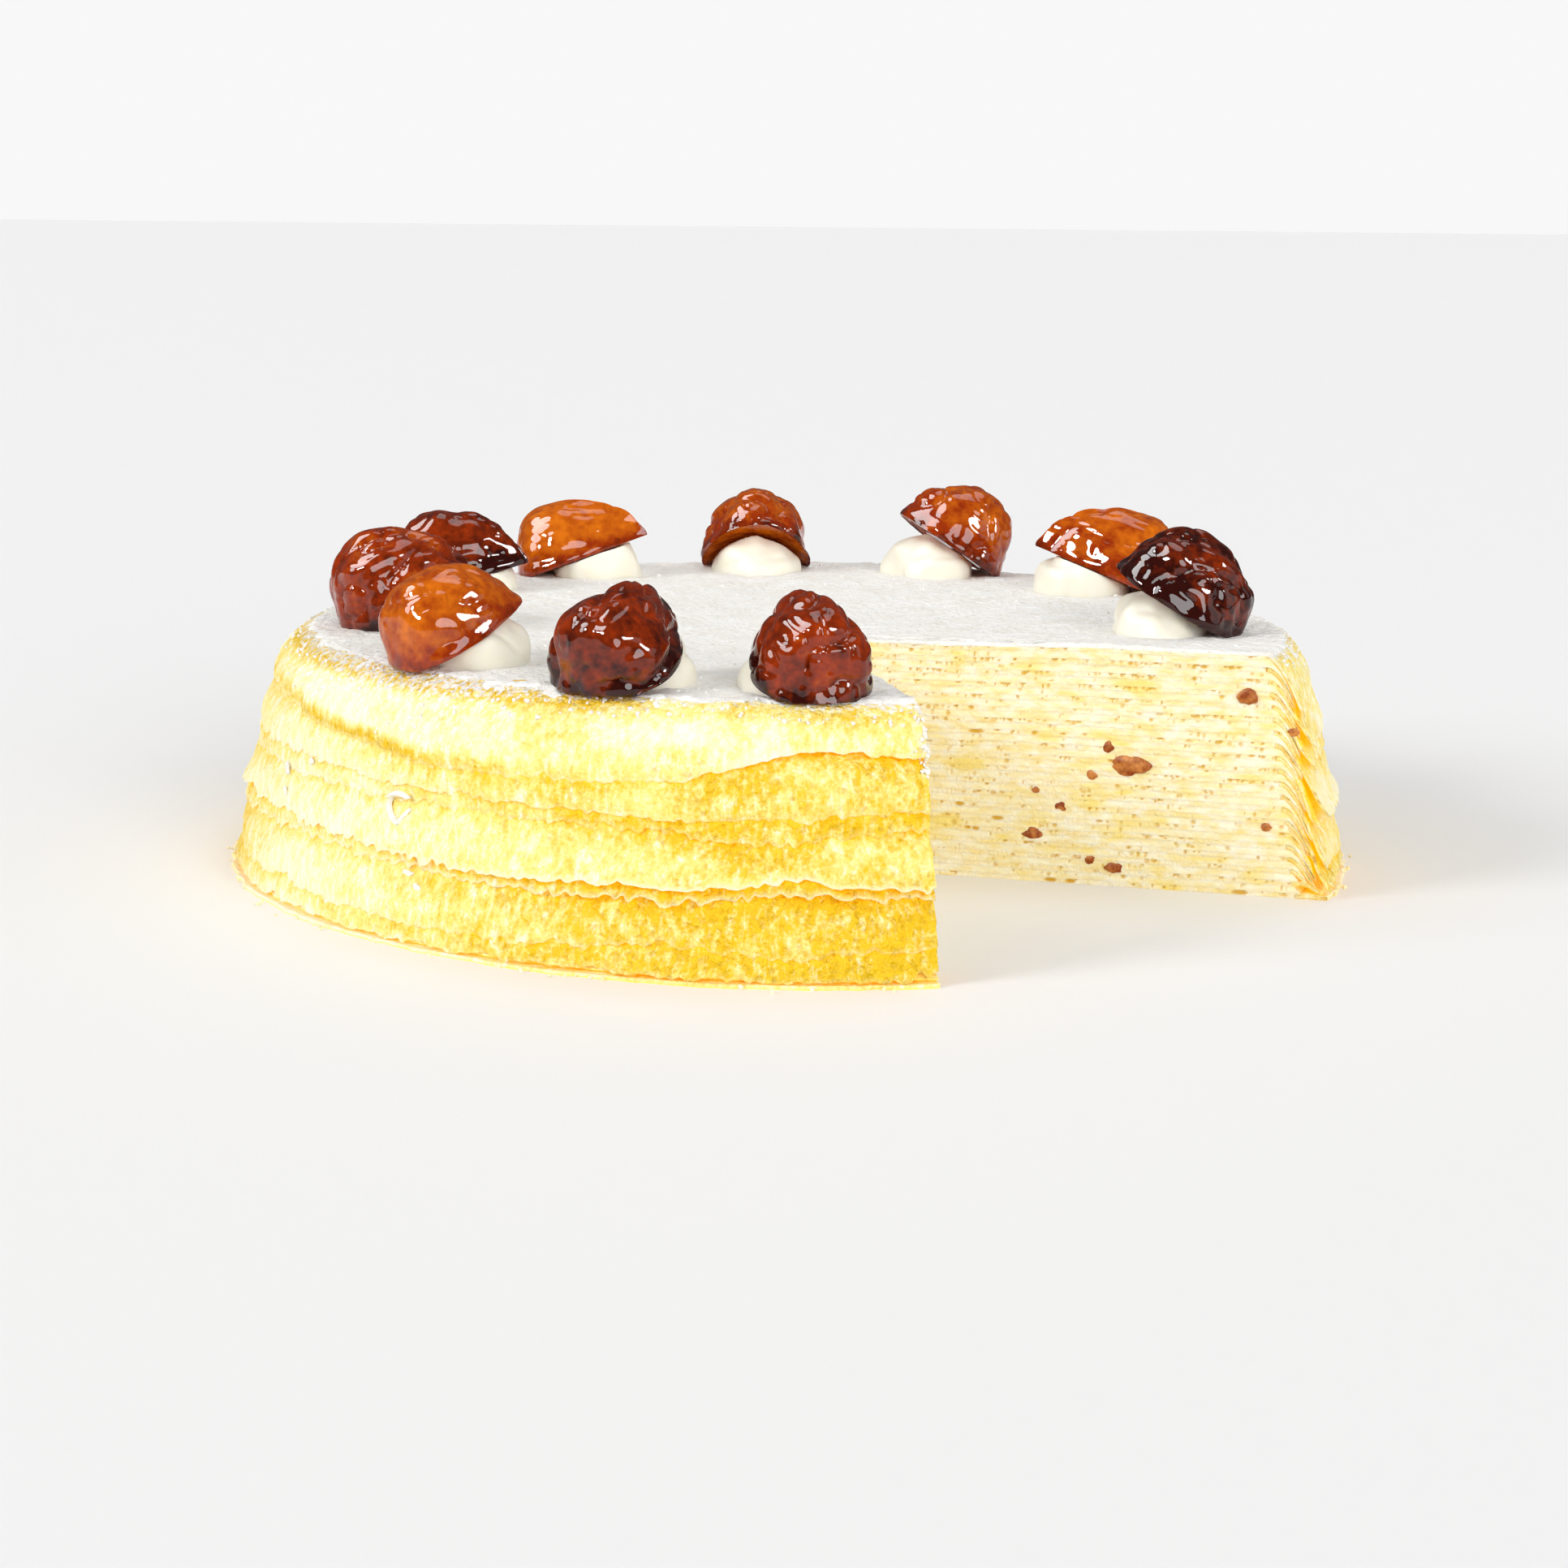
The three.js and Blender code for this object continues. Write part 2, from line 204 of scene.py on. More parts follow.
def triangles_in(word):
    """Triangles of all pieces so far whose name has the word in it."""
    return sum(count for name, count in tally.items() if word in name)


print("a loop of three:", closed(np.arange(3)))

# %% [markdown]
# ## Camera, light and table
# The cake is seen from a little above its rim, from two thirds of a metre away, with a long lens. The light
# is that of a bright kitchen studio: white all round, with large soft windows at the left, in front, above
# and, faintly, at the right. A glaze shows what it mirrors more than what lights it, so three more windows
# are seen in reflections alone. They give the nuts their crisp white glints and leave the matt cake as it is.
# The standard view keeps the plain colours of butter and cream, which look dull in the filmic one.

# %% Camera
CAMERA_ASIDE = 1.4
CAMERA_DISTANCE = 664.07
CAMERA_HEIGHT = 142.53
CAMERA_PITCH = 0.1913
CAMERA_TURN = 0.0038
CAMERA_ROLL = 0.0096
FOCAL_LENGTH = 74.53

camera = bpy.data.objects.new("camera", bpy.data.cameras.new("camera"))
camera.data.lens = FOCAL_LENGTH
camera.data.sensor_width = 36
camera.matrix_world = (
    Matrix.Translation(Vector((CAMERA_ASIDE, -CAMERA_DISTANCE, CAMERA_HEIGHT)) * MM)
    @ Matrix.Rotation(CAMERA_TURN, 4, "Z")
    @ Matrix.Rotation(np.pi / 2 - CAMERA_PITCH, 4, "X")
    @ Matrix.Rotation(CAMERA_ROLL, 4, "Z")
)
bpy.context.scene.collection.objects.link(camera)
bpy.context.scene.camera = camera
bpy.context.scene.view_settings.view_transform = "Standard"
print("camera at", tuple(round(v, 3) for v in camera.location))

# %% Nodes and colours
def linear(hex_colour):
    """An sRGB colour such as #FFEECC as linear RGBA: each value is v / 12.92 up to 0.04045, and above that
    ((v + 0.055) / 1.055)^2.4."""
    values = np.array([int(hex_colour[i : i + 2], 16) for i in (1, 3, 5)]) / 255
    rgb = np.where(values <= 0.04045, values / 12.92, ((values + 0.055) / 1.055) ** 2.4)
    return (*rgb.tolist(), 1.0)


def add(tree, kind, inputs=None, **settings):
    """Adds a node. `inputs` gives a socket, by name or number, a value or another node's output."""
    node = tree.nodes.new(kind)
    for key, value in settings.items():
        setattr(node, key, value)
    for key, value in (inputs or {}).items():
        if isinstance(value, bpy.types.NodeSocket):
            tree.links.new(value, node.inputs[key])
        else:
            node.inputs[key].default_value = value
    return node


def per(size):
    """Scale of a texture whose features are `size` millimetres apart, on coordinates in metres."""
    return 1 / (size * MM)


def new_material(name, numbers):
    """A material: its node tree, its shader with the given numbers, and its object coordinates."""
    material = bpy.data.materials.new(name)
    material.use_nodes = True
    tree = material.node_tree
    tree.nodes.clear()
    shader = add(tree, "ShaderNodeBsdfPrincipled", numbers)
    add(tree, "ShaderNodeOutputMaterial", {"Surface": shader.outputs[0]})
    place = add(tree, "ShaderNodeTexCoord").outputs["Object"]
    return material, tree, shader, place


print("cream white as linear colour:", [round(v, 3) for v in linear("#FBF3DC")])

# %% Light and table
ROOM_STRENGTH = 0.5  # what the white room adds everywhere
MIRRORED_STRENGTH = 0.1  # how bright it looks in a glossy surface, where only the windows should stand out
BACKDROP_STRENGTH = 0.94
LIGHTS = {  # where it comes from, how wide it looks in degrees, its power, and whether it lights matt things
    "left_window": ((-0.81, -0.36, 0.46), 24, 1.4, True),
    "ceiling": ((0.15, 0.3, 1.0), 30, 0.5, True),
    "front_window": ((0.4, -0.86, 0.36), 30, 1.42, True),
    "left_pane": ((-0.55, -0.1, 0.83), 38, 4.0, False),
    "left_glint": ((-0.5, -0.6, 0.55), 12, 2.4, False),
    "right_window": ((0.93, -0.2, 0.3), 30, 0.2, True),
    "right_glint": ((0.7, -0.35, 0.55), 16, 1.6, False),
}

world = bpy.data.worlds.new("white studio")
world.use_nodes = True
sky = world.node_tree
sky.nodes.clear()
room, mirrored, backdrop = (
    add(sky, "ShaderNodeBackground", {"Color": (1, 1, 1, 1), "Strength": strength}).outputs[0]
    for strength in (ROOM_STRENGTH, MIRRORED_STRENGTH, BACKDROP_STRENGTH)
)
ray = add(sky, "ShaderNodeLightPath").outputs
mixed = add(sky, "ShaderNodeMixShader", {0: ray["Is Glossy Ray"], 1: room, 2: mirrored}).outputs[0]
mixed = add(sky, "ShaderNodeMixShader", {0: ray["Is Camera Ray"], 1: mixed, 2: backdrop}).outputs[0]
add(sky, "ShaderNodeOutputWorld", {"Surface": mixed})
bpy.context.scene.world = world

for light_name, (direction, width, power, lights_matt) in LIGHTS.items():
    lamp = bpy.data.lights.new(light_name, "SUN")
    lamp.angle, lamp.energy = np.radians(width), power
    light = bpy.data.objects.new(light_name, lamp)
    light.location = direction
    light.visible_diffuse = lights_matt
    light.rotation_euler = (-Vector(direction)).to_track_quat("-Z", "Y").to_euler()
    bpy.context.scene.collection.objects.link(light)

TABLE_HALF = 6.0
table_material, *_ = new_material("matt white table", {"Base Color": linear("#ECECEC"), "Roughness": 0.9})
table = bpy.data.meshes.new("table")
corners = [(x * TABLE_HALF, y * TABLE_HALF, 0) for x, y in ((-1, -1), (1, -1), (1, 1), (-1, 1))]
table.from_pydata(corners, [], [(0, 1, 2, 3)])
table.materials.append(table_material)
table_top = bpy.data.objects.new("table", table)
bpy.context.scene.collection.objects.link(table_top)
print("lights:", list(LIGHTS))

# %% [markdown]
# ## Crepe
# A crepe is a thin baked batter of egg, milk and flour: matt, a little translucent, pale where it only set
# and golden where it touched the pan, with a lace of small pores where steam came out. Each surface carries
# values worked out with its shape: how browned it is, which also holds painted light and shade, how near its
# hem a point is, whether it is the inner face, which is the browner one and glows with painted light, whether
# the knife went through there, and how much sugar fell on it. The inner value is laid on the outer face too,
# right under the hems, as painted shade. The material starts from the colour of set batter and lays one
# colour after another over it, each by its share.

# %% Crepe material
SET_BATTER, BAKED, WELL_BAKED = "#FFFBDC", "#FEE98E", "#F4C60A"
PORE_GOLD, INNER_FACE, DRY_EDGE, DUSTED = "#EABE12", "#FFC814", "#FFF9CE", "#F4F3EF"
SLICED_PALE, SLICED, CREAM_SMEAR, SHADED_CUT_PORE = "#FFF4D4", "#FBE29C", "#FBE084", "#D6A424"
# painted glow: the colour of the emission that stands in for light shining through the crepe
PAINTED_GLOW = "#FFCA00"


def crepe_material():
    """Lightly browned crepe, matt, with a lace of small pocks. Light goes a millimetre or so into it, and its
    inner face has a painted glow.
    """
    material, tree, shader, place = new_material("lightly browned crepe", {
        "Emission Strength": 0.45, "Roughness": 0.62, "IOR": 1.4, "Specular IOR Level": 0.3,
        "Subsurface Weight": 0.3, "Subsurface Radius": (1.0, 0.9, 0.1), "Subsurface Scale": 1.2 * MM,
    })
    browned, hem, inner, cut, pore, dust = (
        add(tree, "ShaderNodeAttribute", attribute_name=name).outputs["Fac"]
        for name in ("browned", "hem", "inner", "cut", "pore", "dust")
    )
    tall = add(tree, "ShaderNodeMapping", {"Vector": place, "Scale": (1, 1, 0.4)}).outputs[0]
    grown = add(tree, "ShaderNodeMapping", {"Vector": place, "Scale": (1, 1, 2.2)}).outputs[0]
    patches, lace, crumb, where, smear, spread, specks = (
        add(tree, "ShaderNodeTexNoise", {"Vector": vector, "Scale": per(size), "Detail": detail}).outputs[0]
        for vector, size, detail in ((place, 4.5, 4.0), (tall, 1.3, 3.0), (place, 0.6, 2.0), (place, 5, 3.0),
                                     (grown, 3.6, 3.0), (grown, 9, 3.0), (place, 1.1, 5.0))
    )

    # browned + (0.2 + browned) * (1.3 * (patches - 0.5) + 2.5 * (lace - 0.5) + 1.4 * (crumb - 0.5))
    tone = -2.6
    for pattern, amount in ((patches, 1.3), (lace, 2.5), (crumb, 1.4)):
        tone = add(tree, "ShaderNodeMath", {0: pattern, 1: amount, 2: tone},
                   operation="MULTIPLY_ADD").outputs[0]
    gain = add(tree, "ShaderNodeMath", {0: browned, 1: 0.2}, operation="ADD").outputs[0]
    tone = add(tree, "ShaderNodeMath", {0: tone, 1: gain, 2: browned}, operation="MULTIPLY_ADD").outputs[0]
    low = add(tree, "ShaderNodeMapRange", {0: tone, 1: 0.0, 2: 0.5}).outputs[0]
    high = add(tree, "ShaderNodeMapRange", {0: tone, 1: 0.5, 2: 1.35}).outputs[0]

    # pores are the middles of cells 1.5 mm wide, crumpled by a noise, and the more a place is browned, the
    # more of it is open lace
    crumple = add(tree, "ShaderNodeTexNoise", {"Vector": place, "Scale": per(1.8), "Detail": 2.0})
    shift = add(tree, "ShaderNodeVectorMath", {0: crumple.outputs["Color"], 1: (1.6 * MM,) * 3},
                operation="MULTIPLY").outputs[0]
    crumpled = add(tree, "ShaderNodeVectorMath", {0: place, 1: shift}, operation="ADD").outputs[0]
    cells = add(tree, "ShaderNodeTexVoronoi", {"Vector": crumpled, "Scale": per(1.5)}).outputs["Distance"]
    holes = add(tree, "ShaderNodeMapRange", {0: cells, 1: 0.08, 2: 0.5, 3: 0.9, 4: 0.0}).outputs[0]
    where = add(tree, "ShaderNodeMath", {0: browned, 1: 0.5, 2: where}, operation="MULTIPLY_ADD").outputs[0]
    where = add(tree, "ShaderNodeMapRange", {0: where, 1: 0.72, 2: 1.0}).outputs[0]
    open_pores = add(tree, "ShaderNodeMath", {0: holes, 1: where}, operation="MULTIPLY").outputs[0]

    # the knife smears cream over the cut edges, in small clouds and in larger ones
    smear = add(tree, "ShaderNodeMapRange", {0: smear, 1: 0.36, 2: 0.64}).outputs[0]
    sliced = add(tree, "ShaderNodeMix", {0: smear, 6: linear(SLICED_PALE), 7: linear(SLICED)},
                 data_type="RGBA")
    spread = add(tree, "ShaderNodeMapRange", {0: spread, 1: 0.54, 2: 0.7}).outputs[0]
    spread = add(tree, "ShaderNodeMath", {0: spread, 1: cut}, operation="MULTIPLY").outputs[0]

    # sugar dust: the attribute shifts a fine noise over its threshold, so it thins out in specks
    dusted = add(tree, "ShaderNodeMath", {0: specks, 1: dust}, operation="ADD").outputs[0]
    dusted = add(tree, "ShaderNodeMapRange", {0: dusted, 1: 0.85, 2: 1.05}).outputs[0]

    # the cut pores' darker gold is partly their own colour and partly painted shade in their hollows
    colour = linear(SET_BATTER)
    for share, over in (
        (low, linear(BAKED)), (high, linear(WELL_BAKED)), (open_pores, linear(PORE_GOLD)),
        (inner, linear(INNER_FACE)), (hem, linear(DRY_EDGE)), (cut, sliced.outputs[2]),
        (spread, linear(CREAM_SMEAR)), (pore, linear(SHADED_CUT_PORE)), (dusted, linear(DUSTED)),
    ):
        colour = add(tree, "ShaderNodeMix", {0: share, 6: colour, 7: over}, data_type="RGBA").outputs[2]
    tree.links.new(colour, shader.inputs["Base Color"])

    # painted light: the inner face, and the painted golden shade under the hems, glow a little by their own
    # emission, which stands in for light shining through the thin crepe and keeps the gaps under the hems
    # golden
    glow = add(tree, "ShaderNodeMix", {0: inner, 6: (0, 0, 0, 1), 7: linear(PAINTED_GLOW)}, data_type="RGBA")
    tree.links.new(glow.outputs[2], shader.inputs["Emission Color"])
    material.cycles.emission_sampling = "NONE"  # it is too faint to be worth a search for it as a lamp

    # (crumb - 0.8 * open pores + 1.6 * lace) * (0.25 + 0.75 * browned): pale places are smoother
    relief = add(tree, "ShaderNodeMath", {0: open_pores, 1: -0.8, 2: crumb},
                 operation="MULTIPLY_ADD").outputs[0]
    relief = add(tree, "ShaderNodeMath", {0: lace, 1: 1.6, 2: relief}, operation="MULTIPLY_ADD").outputs[0]
    rough = add(tree, "ShaderNodeMath", {0: browned, 1: 0.75, 2: 0.25}, operation="MULTIPLY_ADD").outputs[0]
    relief = add(tree, "ShaderNodeMath", {0: relief, 1: rough}, operation="MULTIPLY").outputs[0]
    bump = add(tree, "ShaderNodeBump", {"Height": relief, "Distance": 0.65 * MM, "Strength": 0.9})
    tree.links.new(bump.outputs[0], shader.inputs["Normal"])
    return material


baked_crepe = crepe_material()
print(baked_crepe.name, len(baked_crepe.node_tree.nodes), "nodes")

# %% [markdown]
# ## Pastry cream
# The filling is pastry cream with a little chestnut in it: smooth, moist, pale ivory yellow, and softer than
# the crepe, so the knife drags it a little.

# %% Pastry cream material
def cream_material():
    """Pastry cream: moist, so smoother than the crepe, with faint clouds of chestnut."""
    material, tree, shader, place = new_material("pastry cream", {
        "Roughness": 0.5, "IOR": 1.4, "Subsurface Weight": 0.3, "Subsurface Radius": (1.0, 0.8, 0.4),
        "Subsurface Scale": 1.5 * MM,
    })
    pore = add(tree, "ShaderNodeAttribute", attribute_name="pore").outputs["Fac"]
    grown = add(tree, "ShaderNodeMapping", {"Vector": place, "Scale": (1, 1, 2.2)}).outputs[0]
    clouds, spread, grain = (
        add(tree, "ShaderNodeTexNoise", {"Vector": vector, "Scale": per(size), "Detail": 3.0}).outputs[0]
        for vector, size in ((grown, 3.6), (grown, 9), (place, 0.8))
    )
    clouds = add(tree, "ShaderNodeMapRange", {0: clouds, 1: 0.35, 2: 0.65}).outputs[0]
    spread = add(tree, "ShaderNodeMapRange", {0: spread, 1: 0.54, 2: 0.7}).outputs[0]
    colour = linear("#FFF6D8")
    # the pores' darker gold is partly their own colour and partly painted shade in their hollows
    for share, over in ((clouds, "#FBE5A4"), (spread, CREAM_SMEAR), (pore, "#DCB244")):
        colour = add(tree, "ShaderNodeMix", {0: share, 6: colour, 7: linear(over)},
                     data_type="RGBA").outputs[2]
    tree.links.new(colour, shader.inputs["Base Color"])
    bump = add(tree, "ShaderNodeBump", {"Height": grain, "Distance": 0.35 * MM, "Strength": 0.9})
    tree.links.new(bump.outputs[0], shader.inputs["Normal"])
    return material


pastry_cream = cream_material()
print(pastry_cream.name)

# %% [markdown]
# ## The form of the side
# Every crepe is wider than the cream, so its edge bends over the layers below and hangs. Seen from the tip of
# the notch, each direction has the same profile: flat, a shoulder, then nearly plumb. The same two functions
# as in the CAD model give it, with a softer start to the bend.

# %% Side and shoulder
def in_column(angle, radius, z):
    """Points at a radius from the axis in directions seen from the tip. Along a direction the tip lies
    `along` before the nearest point to the axis, and Pythagoras gives the rest."""
    direction = np.stack([np.cos(angle), np.sin(angle)], -1)
    along = direction @ TIP
    reach = np.sqrt(along**2 + radius**2 - TIP @ TIP) - along + 0 * z
    flat = TIP + reach[..., None] * direction
    return np.concatenate([flat, (z + 0 * reach)[..., None]], -1)


def side_radius(z, angle):
    """Radius of the side: it leans in with height, flares at the foot and isn't quite round. Its unevenness
    is a sum of cosines of the direction seen from the axis."""
    spot = in_column(angle, BASE_RADIUS, 0)
    azimuth = np.arctan2(spot[..., 1], spot[..., 0])
    uneven = sum(size * np.cos(count * (azimuth - np.radians(peak))) for count, size, peak in SIDE_WAVES)
    return BASE_RADIUS - WALL_LEAN * z + FOOT_FLARE * np.exp(-z / FOOT_HEIGHT) + uneven + SIDE_OFFSET


def tightness(angle):
    """Share of its usual size that the shoulder has: it is half as wide at the far cut, where the hems were
    pressed in."""
    return 1 - 0.5 * hump(np.degrees(angle), np.degrees(FAR_CUT), 34)


def inside_by(depth, tight=1.0):
    """How far inside the side a crepe is once it hangs `depth` below its level: two falling exponentials for
    the shoulder, and a straight lean."""
    soft_start = ROUNDING * np.exp(-np.sqrt(depth / ROUND_DEPTH))
    return tight * (SHOULDER * np.exp(-depth / SHOULDER_DEPTH) + soft_start) + HEM_LEAN * (HEM_REACH - depth)


def outward_per_depth(depth, tight=1.0):
    """Slope of the profile, which is minus the derivative of inside_by."""
    depth = np.maximum(depth, 1e-4)
    start = ROUNDING * np.exp(-np.sqrt(depth / ROUND_DEPTH)) / (2 * np.sqrt(ROUND_DEPTH * depth))
    return tight * (SHOULDER / SHOULDER_DEPTH * np.exp(-depth / SHOULDER_DEPTH) + start) + HEM_LEAN


def angle_from_tip(azimuth):
    """Direction seen from the tip of a point on the side at a direction in degrees seen from the axis."""
    azimuth = np.radians(azimuth)
    spot = BASE_RADIUS * np.stack([np.cos(azimuth), np.sin(azimuth)], -1) - TIP
    return np.arctan2(spot[..., 1], spot[..., 0]) % (2 * np.pi)


SAG = 1.0  # of the middle of the top
SINK = 0.45  # how far a layer sinks or rises
SINK_SIZE = [26, 26, 16]  # how large such a place is, along x, y and z
SIDE_BULGE = 0.5
BULGE_SIZE = [24, 24, 11]
CALM_FOOT, CALM_RIM = 6, 46  # the bulges fade out below and above these heights
NUT_CIRCLE = 72  # the middle sags inside this radius, where no nut stands


def settle(points):
    """The cake isn't built dead true: layers sink and rise by a few tenths, the middle sags a little more the
    higher it lies, and the side bulges here and there. One smooth shift for all points keeps their order."""
    x, y, z = points.T
    share = np.clip(z / CAKE_HEIGHT, 0, 1)
    fade = np.clip(z / CALM_FOOT, 0, 1) * np.clip(CALM_RIM - z, 0, 1)
    radius = np.maximum(np.hypot(x, y), 1)
    lift = SINK * np.sin(np.pi * share) * noise(points, SINK_SIZE, 1)
    lift = lift - SAG * share * step(NUT_CIRCLE - radius, 0, 40)
    outward = SIDE_BULGE * fade * noise(points, BULGE_SIZE, 2) * step(radius, 70, 100)
    return np.stack([x + outward * x / radius, y + outward * y / radius, z + lift], -1)


print("shoulder reaches", round(float(inside_by(0.0) - inside_by(HEM_REACH)), 2), "mm")

# %% [markdown]
# ## Hems
# What the side shows is a stack of hems. Every second crepe hangs far down and hides the short one under it.
# Where the cake is seen from the front, the long hems run through a few known points, such as the top hem
# that rises to the right. Everywhere else they wander, and all of them are ragged at a small scale.

# %% Hem tables
HEMS = {  # crepe: depth of its hem, and how much that wanders
    3: (1.2, 0.1), 4: (3.0, 0.4), 5: (3.6, 0.5), 6: (4.6, 0.5), 7: (4.2, 0.6), 8: (16.7, 0.3),
    9: (4.6, 0.6), 10: (17.8, 0.9), 11: (4.6, 0.7), 12: (12.9, 0.8), 13: (4.2, 0.7), 14: (15.6, 1.3),
    15: (4.4, 0.7), 16: (12.2, 1.2), 17: (4.6, 0.7), 18: (13.8, 1.0), 19: (4.2, 0.6), 20: (11.3, 0.6),
}
TOP_SWING = 2.6  # of the top hem, up and down in four waves round the cake
SWINGS = 4
LOWEST = np.radians(-124)  # where it hangs lowest
PULLED_DOWN, PULLED_LENGTH = 3.5, 10  # how much lower a short hem hangs at the far cut, and over what length
COVER_MARGIN = 0.9  # how far a long hem reaches, at least, below the short one that it covers
FRONT = (-165, -150, -86, -80)  # azimuths between which the known points hold, with a fade at the left
FRONT_HEMS = {  # crepe: azimuths and heights of its hem at the front
    20: ((-160, 37.4), (-144, 35.5), (-128, 33.4), (-118, 33.4), (-108, 33.8), (-100, 35.2), (-94, 38.4),
         (-89, 40.6), (-84, 40.4), (-79, 39.6)),
    18: ((-150, 29.6), (-128, 29.0), (-111, 28.4), (-98, 28.2), (-86, 29.4), (-79, 30.0)),
    16: ((-150, 25.6), (-125, 26.4), (-103, 25.9), (-91, 24.7), (-80, 26.8)),
    14: ((-150, 18.0), (-118, 15.8), (-103, 16.8), (-96, 17.0), (-89, 18.9), (-79, 16.8)),
    12: ((-150, 15.4), (-118, 14.2), (-99, 14.4), (-89, 15.6), (-79, 14.9)),
    10: ((-150, 5.6), (-124, 4.4), (-111, 5.0), (-103, 6.2), (-90, 5.4), (-79, 6.0)),
    8: ((-150, 1.7), (-124, 1.3), (-111, 1.7), (-103, 1.6), (-79, 1.4)),
}
# how far a hem can stand off anywhere, in mm
LIPS = {20: 0.3, 18: 0.15, 16: 0.3, 14: 1.5, 12: 1.2, 10: 0.3, 8: 0.2}
BROWNING = {20: 0.33, 18: 0.55, 16: 0.5, 14: 0.5, 12: 0.85, 10: 0.8, 8: 0.85, 2: 0.55, 1: 0.45}
RAGGED = {12: 1.2, 14: 1.1, 20: 0.6}  # how uneven a hem is at a small scale; 0.9 for the others
DRY_HEMS = {14: 0.7, 12: 0.6}  # how pale the hem's edge has dried; 0.15 for the others
# how far a hem stands off at the far cut, in mm
FLAPS = {20: 0.5, 18: 2.1, 16: 1.6, 14: 2.3, 12: 0.9, 10: 1.1, 8: 0.7}


def wander(crepe, angle):
    """A slow and a quicker wave round the cake, different for each crepe, from -1 to 1."""
    slow = np.sin((3 + crepe % 3) * angle + 2.4 * crepe)
    quick = np.sin((7 + crepe % 4) * angle + 3.9 * crepe)
    return 0.6 * slow + 0.4 * quick


def hem_depth(crepe, angle):
    """Depth of the hem below the crepe's level: the wandering line, led through the known points in front,
    with a raggedness of three sizes and a few small tears. A short hem hangs lower next to the far cut, but
    always stays above the long one that covers it."""
    depth, size = HEMS[crepe]
    line = depth + size * wander(crepe, angle)
    if crepe == CREPE_COUNT:
        line = line + TOP_SWING * np.cos(SWINGS * (angle - LOWEST))
    if crepe in FRONT_HEMS:
        azimuths, heights = np.array(FRONT_HEMS[crepe]).T
        known = top_of(crepe) - np.interp(angle, angle_from_tip(azimuths), heights)
        fade = step(angle, angle_from_tip(np.array(FRONT[0])), angle_from_tip(np.array(FRONT[1])))
        line = line + (known - line) * fade
    rim = in_column(angle, BASE_RADIUS, 9.0 * crepe)
    rough = 0.35 * noise(rim, 7, crepe) + 0.35 * noise(rim, 2.6, crepe) + 0.8 * noise(rim, 1.2, crepe)
    tears = step(noise(rim, 8, crepe + 40), 0.42, 0.62) * (0.8 + 0.8 * noise(rim, 1.7, crepe))
    short = min(1, depth / 6)
    if crepe not in FRONT_HEMS:
        line = line + PULLED_DOWN * np.exp(-(angle - FAR_CUT) * BASE_RADIUS / PULLED_LENGTH)
        line = np.minimum(line, top_of(crepe) - cover_height(crepe, angle) - COVER_MARGIN)
    ragged = short * (rough * RAGGED.get(crepe, 0.9) - 0.8 * tears)
    return np.maximum(line + ragged, 0.6 * min(depth, 2))


def cover_height(crepe, angle):
    """Height of the hem that covers a crepe: that of the next long one above it."""
    cover = min(long for long in FRONT_HEMS if long > crepe)
    return top_of(cover) - hem_depth(cover, angle)


print("long hems:", sorted(FRONT_HEMS))

# %% [markdown]
# ## One layer
# Crepes and cream share one construction, like puff pastry cut with a knife. A flat part reaches from the
# tip of the notch to the bend; a skirt of many rings hangs from there; and two cut faces close the ends. The
# flat part is hidden, so it is one fan of triangles from a point that sees its whole outline. The cut faces
# show, so they are fine grids with a relief of their own: the knife leaves waves, and pores open in it.

# %% Shares of the hem's depth for the rings
def ring_shares(count):
    """Shares of the depth at which the rings lie: close together where the bend begins, then even."""
    start = np.array([0, 0.004, 0.013, 0.03, 0.055, 0.09])
    return np.concatenate([start, np.linspace(0.13, 1, count - len(start))])


def cut_relief(along, z, side):
    """How far the cut face stands out from the knife's plane: three sizes of waves, none at the tip."""
    points = np.stack([along, z, 60.0 * side + 0 * z], -1)
    waves = 0.22 * noise(points, 12) + 0.11 * noise(points, [3.4, 1.1, 1], 3)
    return (waves + 0.09 * noise(points, [1.2, 0.7, 1], 4)) * step(along, 0, 3)


def pits(along, across, count, rng, widest=1.0):
    """Openings in a cut face, from 0 to 1: short ellipses that come in runs, as steam gathers between two
    layers. The places are random steps from one to the next, mostly small and now and then long."""
    steps = rng.exponential(1.0, count) ** 1.7
    middle = np.cumsum(steps) / steps.sum() * along.max()
    height = rng.uniform(0.05, 0.6, count)
    half_long = 0.2 + widest * rng.random(count) ** 3
    half_high = rng.uniform(0.16, 0.42, count)
    strength = rng.uniform(0.35, 1, count)
    far = ((along[..., None] - middle) / half_long) ** 2 + ((across[..., None] - height) / half_high) ** 2
    return (np.clip(1.4 - far, 0, 1) * strength).max(-1)


print("rings at", ring_shares(12).round(3))

# %% A cut face
CUT_STEPS = 330  # points along a cut face, from the tip to the bend
PORE_DEPTH = 0.3


